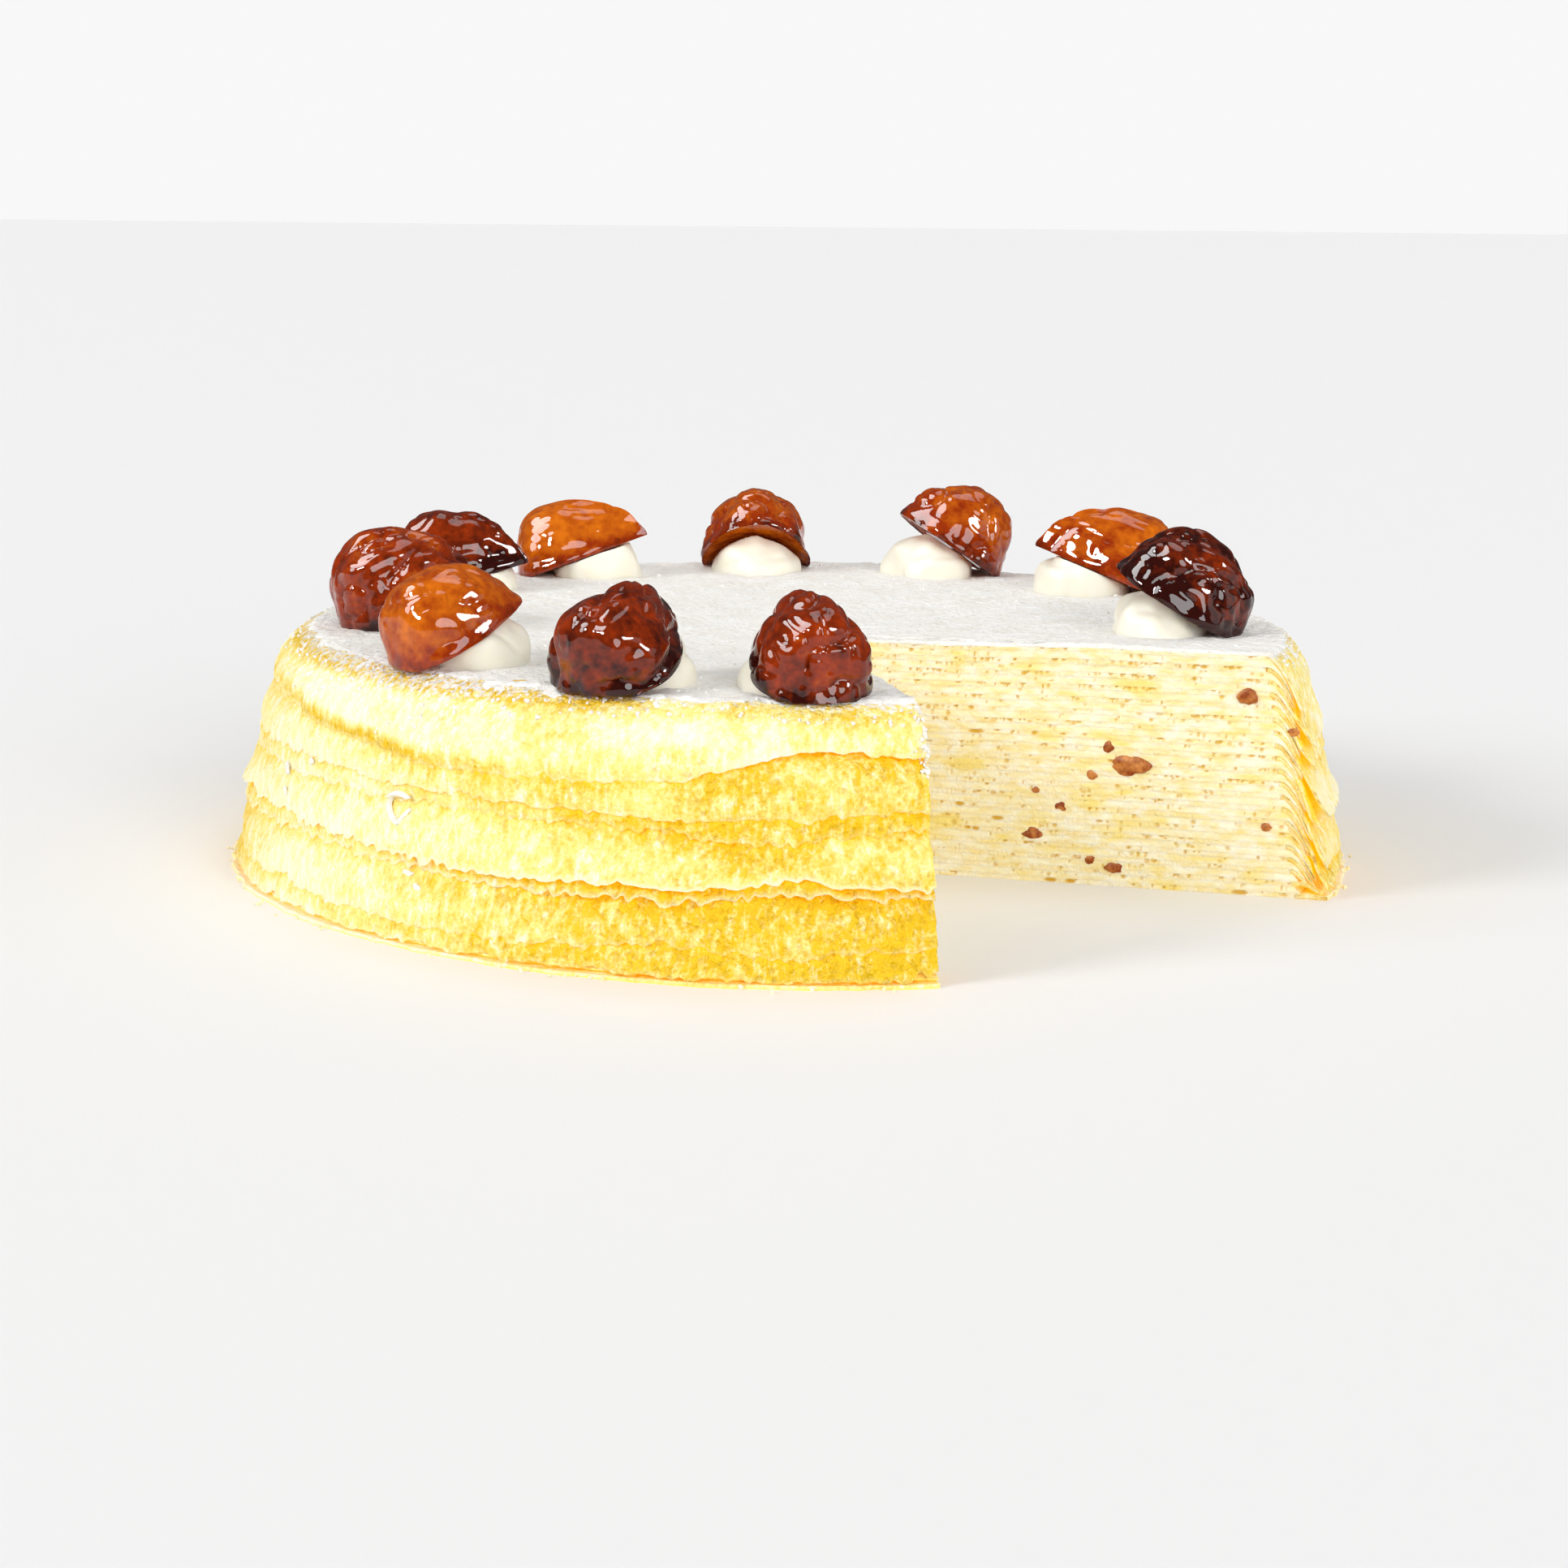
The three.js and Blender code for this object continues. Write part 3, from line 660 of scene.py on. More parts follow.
def cut_face(upper, lower, angle, top, bottom, rows, steps, side, rng, kind):
    """A cut face's points as (along it, across it, 3), and how open a pore is at each. It runs from the tip
    to the hem, and at each place from the upper face to the lower one. Its relief moves it out of the knife's
    plane: the knife's waves, a bulge that is the sine of the share across it, and the pores."""
    column = -side
    across = np.linspace(0, 1, rows + 1)
    direction = np.array([np.cos(angle), np.sin(angle)])
    normal = (2 * side - 1) * np.array([-direction[1], direction[0]])
    share = np.arange(steps + 1)[:, None] / (steps + 1)
    flat = TIP + share * (upper[0, column, :2] - TIP)
    face = np.empty((steps + 1 + len(upper), rows + 1, 3))
    face[: steps + 1, :, :2] = flat[:, None]
    face[: steps + 1, :, 2] = top + (bottom - top) * across
    down = across[:, None]
    face[steps + 1 :] = upper[:, None, column] * (1 - down) + lower[:, None, column] * down
    along = (face[..., :2] - TIP) @ direction
    moves = np.diff(face[:, 0], axis=0)
    length = np.concatenate([[0], np.cumsum(np.linalg.norm(moves, axis=1))])[:, None] + 0 * across
    height = np.broadcast_to(across, length.shape)
    spots = np.stack([along, 0 * along, face[..., 2]], -1)
    bulge = kind["bulge"] * (1 + 1.5 * noise(spots, [7, 1, 2], 9)) * np.sin(np.pi * height)
    pore = pits(length, height, kind["pits"], rng, kind["widest"]) * step(along, 1, 3)
    for spot, half in kind.get("slits", {}).get(side, ()):
        near = ((length - spot) / half) ** 2 + ((height - 0.5) / 0.42) ** 2
        pore = np.maximum(pore, np.clip(1.4 - near, 0, 1))
    out = cut_relief(along, face[..., 2], side) + bulge - PORE_DEPTH * pore
    face[..., :2] += (out * step(along, 0, 2))[..., None] * normal
    return face, pore


print("a cut face has", CUT_STEPS, "steps of about 0.3 mm")

# %% A layer's mesh
ROUND_EDGE = 0.15  # how far the middle of a hem's edge stands beyond its faces


def layer(angle, skirts, levels, rows, rng, kind, flat_rings=(1.0,), flat_lift=None, steps=CUT_STEPS):
    """Builds a closed layer. The skirts, upper and lower, are (rings, columns, 3) arrays, and the levels are
    the heights of the flat faces. kind holds the values of the skirts, and how the cut faces look. flat_rings
    are the shares at which the upper flat face's outline is repeated, and flat_lift shapes it there."""
    upper, lower = skirts
    surface = Surface()
    grids = []
    for side, column in ((0, 0), (1, -1)):
        face, pore = cut_face(upper, lower, angle[column], *levels, rows, steps, side, rng, kind)
        upper[:, column], lower[:, column] = face[steps + 1 :, 0], face[steps + 1 :, -1]
        grids.append((face, pore))

    values = kind["skirt"]
    on_cut = dict(dict.fromkeys(values, 0.0), cut=1.0, browned=0.3)
    outer = surface.add(upper, **values)
    inner = surface.add(lower, **dict(values, inner=1.0))
    down = upper[-1] - upper[-2]
    down = down / np.maximum(np.linalg.norm(down, axis=-1, keepdims=True), 1e-6)
    last = {name: value[-1] for name, value in values.items()}
    edge = surface.add((upper[-1] + lower[-1]) / 2 + ROUND_EDGE * down, **last)
    surface.sheet(outer)
    surface.sheet(inner[::-1])
    surface.sheet(np.stack([outer[-1], edge, inner[-1]]))

    tip = surface.add(grids[0][0][0], **on_cut)
    bounds = []
    for (face, pore), column in zip(grids, (0, -1)):
        flat = surface.add(face[1 : steps + 1], **dict(on_cut, pore=pore[1 : steps + 1]))
        golden = dict(on_cut, cut=kind.get("skirt_cut", 1.0), browned=0.8)
        between = surface.add(face[steps + 1 :, 1:-1], **dict(golden, pore=pore[steps + 1 :, 1:-1]))
        ends = np.concatenate([outer[:, column, None], between, inner[:, column, None]], 1)
        grid = np.concatenate([tip[None], flat, ends])
        surface.sheet(grid if column else grid[::-1])
        surface.fan(edge[column], grid[-1] if column else grid[-1][::-1])
        bounds.append(flat)

    flat_values = {key: kind.get("flat", {}).get(key, 0.0) for key in values}
    for row, height, skirt, up in ((0, levels[0], outer, True), (-1, levels[1], inner, False)):
        loop = np.concatenate([tip[[row]], bounds[0][:, row], skirt[0], bounds[1][::-1, row], tip[[row]]])
        point = np.array([[*FAN_CENTRE, height]])
        if up:
            rim = np.concatenate(surface.points)[loop[:-1]]
            rings = [loop]
            for share in flat_rings[1:]:
                ring = rim.copy()
                ring[:, :2] = FAN_CENTRE + share * (rim[:, :2] - FAN_CENTRE)
                ring[:, 2] = height + flat_lift(ring)
                rings.append(closed(surface.add(ring, **flat_values)))
            surface.sheet(np.stack(rings[::-1]))
            loop = rings[-1]
            if flat_lift:
                point[:, 2] += flat_lift(point)
        centre = surface.add(point, **flat_values)[0]
        surface.fan(centre, loop if up else loop[::-1])
    return surface


print("the flat part is a fan round", FAN_CENTRE)

# %% [markdown]
# ## Skirts
# A crepe's skirt follows the profile down to its hem. Its outer face has a low relief of its own, upright
# like drips of batter. The last few millimetres lift off the cake here and there as a lip; elsewhere the wet
# crepe clings, so they bend in until they lie on the crepe below. Next to the far cut the knife pulled the
# hems loose, and there they flap.

# %% Skirt of a crepe
LIP_WIDTH = 3.2
STRETCH_DEPTH = 1.2  # a crepe thins over its bend within this depth
HEM_THINNING = 0.48  # a hem runs out thin
THINNING_WIDTH = 2.4
THINNEST = 0.12
TUCK = 1.25  # how far a hem bends in, at most
FIRST_TUCKED = 9  # the hems of the crepes below this one lie on the table
FLAP_LENGTH = 9  # of the part that flaps, along the side
SMOOTH_LEFT = (218, 30)  # middle and width, in degrees, of the side where the hems lie flush


def calmness(angle):
    """1 for most of the side, less at the left, where it is smooth and its hems lie flush."""
    return 1 - 0.8 * around_cake(angle, *SMOOTH_LEFT)


def hem_shift(crepe, angle, depth, hem):
    """How far a skirt stands off from its profile, in mm: the lip, which rises with the square of the share
    of its width, less the tuck, which is as deep as the gap to the crepe below, plus the flap."""
    tight = tightness(angle)
    rim = in_column(angle, BASE_RADIUS, 0)
    lip = 0.25 + 0.75 * step(noise(rim, 16, crepe + 9), -0.3, 0.5)
    ends = np.minimum(angle - FAR_CUT, NEAR_CUT - angle) * BASE_RADIUS
    lip = lip * LIPS.get(crepe, 0.3) * (1 + 0.8 * np.exp(-ends / 4)) * calmness(angle)
    lifted = lip * np.clip(1 - (hem - depth) / LIP_WIDTH, 0, 1) ** 2

    flapping = np.exp(-(angle - FAR_CUT) * BASE_RADIUS / FLAP_LENGTH)
    gap = inside_by(np.maximum(hem - 2 * LAYER_PITCH, 0), tight) - inside_by(hem, tight) - 0.5
    around = in_column(angle, BASE_RADIUS, top_of(crepe) - depth)
    tuck = np.clip(gap, 0, TUCK) * step(0.9 - lip, 0, 0.8) * (0.85 + 0.3 * noise(around, 9, crepe + 70))
    tuck = tuck * (1 - flapping) * (crepe >= FIRST_TUCKED)
    bent_in = tuck * np.clip(1 - (hem - depth) / (1.6 * LIP_WIDTH), 0, 1) ** 1.5

    hidden = top_of(crepe) - cover_height(crepe, angle) if crepe < CREPE_COUNT else 0 * angle
    free = np.clip((depth - hidden) / np.maximum(hem - hidden, 1), 0, 1)
    return (lifted - bent_in) * step(hem, 3, 9) + FLAPS.get(crepe, 0) * flapping * free**1.2


def thickness(depth):
    """Thickness of a crepe as it hangs: it is stretched thinner over its bend, by a falling exponential."""
    return HEM_THICKNESS + (CREPE_THICKNESS - HEM_THICKNESS) * np.exp(-depth / STRETCH_DEPTH)


def skirt(crepe, angle, count):
    """Upper and lower faces of a hanging edge. The depth of ring i is its share of the hem's depth; the
    radius is the side's less inside_by; the lower face lies a thickness further in, square to the slope."""
    level = top_of(crepe)
    hem = hem_depth(crepe, angle)
    depth = ring_shares(count)[:, None] * hem
    z = level - depth
    tight = tightness(angle)
    radius = side_radius(z, angle) - inside_by(depth, tight)
    around = in_column(angle, radius, z)
    relief = 0.24 * noise(around, [2.4, 2.4, 5], crepe) + 0.26 * noise(around, [1.3, 1.3, 1.5], crepe + 20)
    relief = relief * step(depth, 0.5, 2) * (0.5 + 0.5 * calmness(angle))
    slope = outward_per_depth(depth, tight)
    length = np.hypot(1, slope)
    thick = thickness(depth)
    thinned = HEM_THINNING * np.clip(1 - (hem - depth) / THINNING_WIDTH, 0, 1) ** 1.3 * step(hem, 3, 9)
    outside = np.maximum(relief - thinned, THINNEST - thick / length)
    radius = radius + hem_shift(crepe, angle, depth, hem)
    upper = in_column(angle, radius + outside, z)
    lower = in_column(angle, radius - thick / length, z - thick * slope / length)
    return upper, lower, depth, hem


def edge_of_flat(crepe, angle, count):
    """The two lowest crepes lie flat out to the foot, and only the last millimetres of the second one sag,
    over the edge of the first. Both run out a little thinner."""
    level = top_of(crepe)
    reach, sag = (0.0, 0.0) if crepe == 1 else (1.0, 1.4)
    start = side_radius(level, angle) - inside_by(0.0, tightness(angle))
    ragged = 0.5 * noise(in_column(angle, BASE_RADIUS, 0), 3, crepe + 60)
    end = side_radius(level, angle) - reach + ragged
    share = ring_shares(count)[:, None]
    radius = start + (end - start) * share
    fall = step(share, 0.4, 1)
    upper = in_column(angle, radius, level - (sag + 0.3) * fall)
    lower = in_column(angle, radius + 0.2 * fall, level - sag * fall - CREPE_THICKNESS)
    lower[..., 2] = np.maximum(lower[..., 2], 0)
    return upper, lower, share * (end - start), end - start


probe = skirt(14, np.linspace(FAR_CUT, NEAR_CUT, 50), 20)
print("crepe 14 hangs", probe[3].min().round(1), "to", probe[3].max().round(1), "mm")

# %% [markdown]
# ## The crepes
# The long hems, the top one and the two at the foot show all round, so they get a column every 0.7 mm. The
# short ones show only where they were cut. How browned a place is depends on the crepe, on slow patches, and
# on the side of the cake. That is partly the batter's own colour, as the crepes were turned as they were
# stacked, with paler batter to the left, and partly painted light: paler at the left, where the light falls
# brightest, golden at the front, where less of it falls, and pale at the far end, to lift the shade there.
# Right under each hem the crepe is painted golden, a painted shade for the shadow that the hem casts.

# %% How browned a crepe is
PALE_LEFT = (214, 27)  # middle and width, in degrees, of the paler side, partly paler batter and partly painted light
PALE_LEFT_OF_TOP = (214, 20)  # and that of the top crepe
# the golden front is partly painted shade, and the pale far end partly painted light on a side in shade
GOLDEN_FRONT = (272, 22)
PALE_FAR_END = (-12, 14)
HEM_SHADE_DEPTH = 2.6  # how far below a hem the painted golden shade under it reaches
DRY_WIDTH = 0.8


def browning(crepe, points):
    """From 0, pale, to about 1, golden: the crepe's own share, with slow patches, less at the left and at the
    far end and more at the front. These turns round the cake are partly the batter's own colour and partly
    painted light and shade for how the light falls there.
    """
    azimuth = np.arctan2(points[..., 1], points[..., 0])
    below_top = crepe < CREPE_COUNT
    left = around_cake(azimuth, *(PALE_LEFT if below_top else PALE_LEFT_OF_TOP))
    front = 0.5 * around_cake(azimuth, *GOLDEN_FRONT) * below_top
    patches = 0.25 * noise(points, [18, 18, 9], crepe + 3) + 0.2 * noise(points, [6, 6, 4], crepe + 4)
    own = BROWNING.get(crepe, 0.6) - 0.35 * hump(np.degrees(azimuth), *PALE_FAR_END) * below_top
    return np.clip(own * (1 - 0.82 * left + front) + patches * (1 - 0.75 * left), 0, 1.3)


def painted_hem_shade(crepe, angle, upper):
    """Share of painted shade: 1 right under the hem of the next long crepe above, falling off below it over a
    few millimetres.
    """
    if crepe + 2 not in FRONT_HEMS:
        return 0.0
    hem_height = top_of(crepe + 2) - hem_depth(crepe + 2, angle)
    return np.exp(-np.maximum(hem_height - upper[..., 2], 0) / HEM_SHADE_DEPTH)


def crepe_values(crepe, angle, upper, depth, hem):
    """The values that the crepe material reads, on the grid of the skirt."""
    shade_share = painted_hem_shade(crepe, angle, upper)
    none = np.zeros(depth.shape)
    return {
        # painted shade: right under each hem the crepe is painted more golden, and the inner colour with its
        # painted glow is laid on the outer face there
        "browned": browning(crepe, upper) + 0.5 * shade_share,
        "hem": np.clip(1 - (hem - depth) / DRY_WIDTH, 0, 1) * DRY_HEMS.get(crepe, 0.15),
        "inner": 0.55 * shade_share**4 * calmness(angle) + none,
        "cut": none,
        "pore": none,
        "dust": none,
    }


print("crepe 14 is browned", browning(14, probe[0]).mean().round(2))

# %% Build the crepes
VISIBLE = (1, 2, 3, 8, 10, 12, 14, 16, 18)
FINE_COLUMNS = 900
COARSE_COLUMNS = 260
SLITS = {  # crepe: cut face 0, the far one: places along it and half lengths of long openings
    13: {0: ((38.5, 1.6),)}, 7: {0: ((35.5, 1.0),)}, 6: {0: ((43.3, 1.3),)}, 5: {0: ((38.9, 0.8),)},
    1: {0: ((54.3, 1.3), (58.4, 1.1), (92.3, 1.7))},
}

for crepe in range(1, CREPE_COUNT):
    rng = np.random.default_rng(100 + crepe)
    angle = np.linspace(FAR_CUT, NEAR_CUT, FINE_COLUMNS if crepe in VISIBLE else COARSE_COLUMNS)
    make = edge_of_flat if crepe < 3 else skirt
    upper, lower, depth, hem = make(crepe, angle, 26 if crepe in FRONT_HEMS else 14)
    kind = {"skirt": crepe_values(crepe, angle, upper, depth, hem), "pits": 34 + 5 * max(crepe - 6, 0),
            "widest": 0.5, "bulge": 0.03, "slits": SLITS.get(crepe, {}), "skirt_cut": 0.4}
    levels = top_of(crepe), top_of(crepe) - CREPE_THICKNESS
    made = layer(angle, (upper, lower), levels, 5, rng, kind)
    made.piece(f"soft_crepe_{crepe:02d}", baked_crepe, [f"crepe_{crepe:02d}"], "crepe", settle)
print("crepes 1 to 19:", triangles_in("crepe"), "triangles")

# %% [markdown]
# ## The cream between them
# The cream fills the room between two crepes and goes a little way into the bend, not everywhere as far. Its
# upper face is the lower face of the crepe above, and its lower face is the upper face of the one below.

# %% Build the cream
CREAM_GAP = 0.02
CREAM_COLUMNS = 200
CREAM_DEPTH = 3.6  # how far it goes into the bend
CREAM_SMEARED = 5.0  # how much further it was drawn at the far cut
CREAM_FLUSH = 1.2  # how far above the hem that covers it the cream ends, at least


def cream_skirt(below, angle, count):
    """Between crepe `below` and the next: both faces at the same depths under their own crepes' levels,
    drawn together at the end, so that the cream ends in a soft edge."""
    point = in_column(angle, 110.0, 7.0 * below)
    end = CREAM_DEPTH + 0.8 * noise(point, 9, below) + 0.7 * noise(point, 2.5, below)
    smeared = CREAM_SMEARED * np.exp(-(angle - FAR_CUT) * BASE_RADIUS / 5)
    end = end + smeared * (0.7 + 0.5 * noise(point, 2.5, below + 30))
    end = end * (0.3 if below < 3 else 1)
    end = np.minimum(end, top_of(below) - cover_height(below, angle) - CREAM_FLUSH)
    depth = ring_shares(count)[:, None] * np.maximum(end, 0.3)
    above, level = top_of(below + 1), top_of(below)
    tight = tightness(angle)
    slope = outward_per_depth(depth, tight)
    length = np.hypot(1, slope)
    thick = thickness(depth) + CREAM_GAP
    high_z, low_z = above - depth, level - depth * (below >= 3)
    high_radius = side_radius(high_z, angle) - inside_by(depth, tight) - thick / length
    low_radius = side_radius(low_z, angle) - inside_by(depth, tight)
    upper = in_column(angle, high_radius, high_z - thick * slope / length)
    lower = in_column(angle, low_radius, low_z + CREAM_GAP)
    pinch = (0.4 * ring_shares(count) ** 4)[:, None, None]
    middle = (upper + lower) / 2
    return upper + (middle - upper) * pinch, lower + (middle - lower) * pinch


for below in range(1, CREPE_COUNT):
    rng = np.random.default_rng(200 + below)
    angle = np.linspace(FAR_CUT, NEAR_CUT, CREAM_COLUMNS)
    upper, lower = cream_skirt(below, angle, 10)
    kind = {"skirt": {"pore": np.zeros(upper.shape[:2])}, "pits": 22, "widest": 0.35, "bulge": -0.02}
    levels = top_of(below + 1) - CREPE_THICKNESS - CREAM_GAP, top_of(below) + CREAM_GAP
    made = layer(angle, (upper, lower), levels, 5, rng, kind)
    made.piece(f"piped_cream_{below:02d}", pastry_cream, [f"cream_{below:02d}"], "pastry_cream", settle)
print("cream:", triangles_in("cream"), "triangles")

# %% [markdown]
# ## The top crepe
# The top crepe is laid on last, browned side down, and its flat part shows through the sugar. So it isn't
# one fan: its outline is shrunk towards the fan's centre again and again, and the rings in between carry the
# faint waves that the cream below gives it. Its rim is browned at the left, and its hem there gets a band of
# painted golden shade for the hem's shadowed part.

# %% Build the top crepe
TOP_RINGS = (1, 0.985, 0.96, 0.93, 0.89, 0.84, 0.78, 0.7, 0.6, 0.5, 0.4, 0.3, 0.2, 0.1)
DUST_DEPTH = 3.2  # how far down its skirt the top crepe is dusted, on average
SPILL, SPILL_DEPTH = (217, 20), 5.5  # where sugar slid over the rim: middle and width in degrees, and how far
BARE_RIM = (262, 18)  # and where less of it lies
# where the top crepe's hem gets painted golden shade, and where its rim is browned: middle and width in
# degrees
SHADED_HEM_LEFT, BROWNED_RIM = (212, 28), (208, 34)


def top_waves(points):
    """Height of the faint waves of the top, in mm: two sizes of noise that fade out towards the rim."""
    middle = step(95 - np.hypot(points[..., 0], points[..., 1]), 0, 12)
    flat = points * [1, 1, 0]
    return (0.3 * noise(flat, 22, 5) + 0.12 * noise(flat, 8, 6)) * middle


def dust_reach(angle):
    """Depth down the skirt to which sugar lies."""
    rim = in_column(angle, 104.0, 0)
    spilled = SPILL_DEPTH * around_cake(angle, *SPILL)
    return DUST_DEPTH + spilled + 1.6 * noise(rim, 11, 31) - 1.2 * around_cake(angle, *BARE_RIM)


angle = np.linspace(FAR_CUT, NEAR_CUT, FINE_COLUMNS)
upper, lower, depth, hem = skirt(CREPE_COUNT, angle, 30)
values = crepe_values(CREPE_COUNT, angle, upper, depth, hem)
values["dust"] = np.clip(0.5 - 0.35 * depth / dust_reach(angle), 0, 1)
# painted shade: a golden band along the hem at the left, for its shadowed part
golden_shade_band = around_cake(angle, *SHADED_HEM_LEFT) * np.clip(1 - np.abs(hem - depth - 1.0) / 2.4, 0, 1)
near_rim = (0.35 + 1.0 * around_cake(angle, *BROWNED_RIM)) * hump(depth, 1.2, 1.8)
values["browned"] = values["browned"] + 1.1 * golden_shade_band + near_rim
kind = {"skirt": values, "pits": 60, "widest": 0.5, "bulge": 0.05, "flat": {"browned": 0.95, "dust": 0.25}}
levels = CAKE_HEIGHT, CAKE_HEIGHT - CREPE_THICKNESS
made = layer(angle, (upper, lower), levels, 5, np.random.default_rng(120), kind, TOP_RINGS, top_waves)
made.piece("soft_crepe_20", baked_crepe, ["crepe_20"], "crepe", settle)
print("top crepe:", tally["soft_crepe_20"], "triangles")

# %% [markdown]
# ## Powdered sugar
# Powdered sugar is ground so fine that it lies like felt: no grain shows, only soft drifts and ragged ends
# where it thins out. It is a skin over the top crepe that is a few tenths of a millimetre thick. Where its
# thickness falls below nothing it dips under the crepe, so its edge on the crepe is as ragged as its noise.

# %% Powdered sugar material
def sugar_material():
    """Powdered sugar: dry and matt, white, with the faintest cream where it is thin."""
    numbers = {"Roughness": 0.9, "Specular IOR Level": 0.2}
    material, tree, shader, place = new_material("powdered sugar", numbers)
    drifts = add(tree, "ShaderNodeTexNoise", {"Vector": place, "Scale": per(7), "Detail": 5.0}).outputs[0]
    grain = add(tree, "ShaderNodeTexNoise", {"Vector": place, "Scale": per(1.4), "Detail": 6.0}).outputs[0]
    uneven = add(tree, "ShaderNodeMath", {0: grain, 1: 1.2, 2: drifts}, operation="MULTIPLY_ADD").outputs[0]
    share = add(tree, "ShaderNodeMapRange", {0: uneven, 1: 0.85, 2: 1.3}).outputs[0]
    colour = add(tree, "ShaderNodeMix", {0: share, 6: linear("#F2EEE6"), 7: linear("#FBFAF7")},
                 data_type="RGBA").outputs[2]
    tree.links.new(colour, shader.inputs["Base Color"])
    bump = add(tree, "ShaderNodeBump", {"Height": grain, "Distance": 1.1 * MM, "Strength": 1.0})
    tree.links.new(bump.outputs[0], shader.inputs["Normal"])
    return material


powdered_sugar = sugar_material()
print(powdered_sugar.name)

# %% Sift the sugar
SUGAR_RINGS = np.concatenate([np.linspace(1, 0.87, 24), np.linspace(0.86, 0.02, 22)])
SUGAR_THICKNESS = 0.4
SUGAR_BASE = 0.3  # height over the crepe at which the sugar's flat part is counted from
SUNK = -0.35  # where the sugar's lower face lies under the crepe's surface
RIM_THINNING = 0.36  # how much thinner it gets towards the rim
THIN_LEFT = (226, 44)  # and where this is strongest


def sugar_thickness(points):
    """Thickness of the sugar over a point of the top: drifts of three sizes. Towards the rim it thins out,
    most of all at the front left, and there the crepe shows through many small holes in it."""
    flat = points * [1, 1, 0]
    azimuth = np.arctan2(points[..., 1], points[..., 0])
    near_rim = step(np.hypot(points[..., 0], points[..., 1]), 86, 104)
    thin = near_rim * (0.15 + 0.85 * around_cake(azimuth, *THIN_LEFT))
    drifts = 0.2 * noise(flat, 9, 41) + 0.2 * noise(flat, 3, 42) + 0.2 * noise(flat, 1.6, 43)
    return SUGAR_THICKNESS - RIM_THINNING * thin + drifts * (1 + 0.7 * thin)


def sugar_on_skirt(angle, count):
    """The sugar over the rim: the crepe's surface, thickened outwards. It thins with depth to nothing."""
    reach = dust_reach(angle)
    hem = hem_depth(CREPE_COUNT, angle)
    depth = ring_shares(count)[:, None] * np.minimum(reach * 1.25, hem - 0.3)
    z = CAKE_HEIGHT - depth
    tight = tightness(angle)
    radius = side_radius(z, angle) - inside_by(depth, tight) + hem_shift(CREPE_COUNT, angle, depth, hem)
    surface = in_column(angle, radius, z)
    patches = 0.5 * noise(surface, 4.5, 44) + 0.35 * noise(surface, 1.7, 45) + 0.25 * noise(surface, 0.9, 46)
    ragged = (0.55 * patches - 0.55) * step(depth, 0, 0.5)
    thick = np.clip(sugar_thickness(surface) + ragged - 0.25 * depth / reach, SUNK + 0.05, 1)
    slope = outward_per_depth(depth, tight)
    length = np.hypot(1, slope)
    upper = in_column(angle, radius + thick / length, z + thick * slope / length)
    lower = in_column(angle, radius + SUNK / length, z + SUNK * slope / length)
    return upper, lower


def sugar_lift(points):
    """Height of the sugar's surface over the top's own level."""
    return top_waves(points) + np.maximum(sugar_thickness(points), SUNK + 0.05)


skirts = sugar_on_skirt(angle, 20)
kind = {"skirt": {}, "pits": 1, "widest": 0.3, "bulge": 0.1}
levels = CAKE_HEIGHT + SUGAR_BASE, CAKE_HEIGHT + SUNK
made = layer(angle, skirts, levels, 2, np.random.default_rng(121), kind, SUGAR_RINGS,
             lambda points: sugar_lift(points) - SUGAR_BASE, steps=200)
made.piece("sifted_sugar", powdered_sugar, warp=settle)
print("sugar:", tally["sifted_sugar"], "triangles")

# %% [markdown]
# ## Candied chestnuts
# Each topping is half a chestnut, cooked in syrup until it is glassy, and glazed. The nut is a dome over its
# cut face, pinched towards its tip, and its skin is wrinkled lengthwise and knobbly. The glaze is a thin
# clear coat over a translucent body: amber where the nut is pale, nearly black where it took up most syrup.

# %% Chestnut material
def chestnut_material():
    """Candied chestnut under a syrup glaze: a glossy clear coat over a body as saturated as dark caramel. The
    mesh's tone runs from 0, amber, to 1, the darkest."""
    material, tree, shader, place = new_material("glazed candied chestnut", {
        "Roughness": 0.4, "Specular IOR Level": 0.0, "Coat Weight": 1.0, "Coat IOR": 1.47,
        "Coat Roughness": 0.04,
    })
    tone, wrinkle = (
        add(tree, "ShaderNodeAttribute", attribute_name=name).outputs["Fac"] for name in ("tone", "wrinkle")
    )
    clouds = add(tree, "ShaderNodeTexNoise", {"Vector": place, "Scale": per(5), "Detail": 3.0}).outputs[0]
    grain = add(tree, "ShaderNodeTexNoise", {"Vector": place, "Scale": per(1.6), "Detail": 1.0}).outputs[0]
    # tone + 0.9 * (clouds - 0.5) + 0.5 * (grain - 0.5)
    for pattern, amount in ((clouds, 0.9), (grain, 0.5)):
        tone = add(tree, "ShaderNodeMath", {0: pattern, 1: amount, 2: tone},
                   operation="MULTIPLY_ADD").outputs[0]
    tone = add(tree, "ShaderNodeMath", {0: tone, 1: 0.7}, operation="SUBTRACT").outputs[0]
    colour = linear("#D66E0E")
    for start, over in ((0.0, "#983003"), (0.5, "#300702")):
        share = add(tree, "ShaderNodeMapRange", {0: tone, 1: start, 2: start + 0.5}).outputs[0]
        colour = add(tree, "ShaderNodeMix", {0: share, 6: colour, 7: linear(over)},
                     data_type="RGBA").outputs[2]
    tree.links.new(colour, shader.inputs["Base Color"])
    height = add(tree, "ShaderNodeMath", {0: grain, 1: wrinkle}, operation="MULTIPLY").outputs[0]
    bump = add(tree, "ShaderNodeBump", {"Height": height, "Distance": 1.5 * MM, "Strength": 0.9})
    tree.links.new(bump.outputs[0], shader.inputs["Normal"])
    return material


candied_chestnut = chestnut_material()
print(candied_chestnut.name)

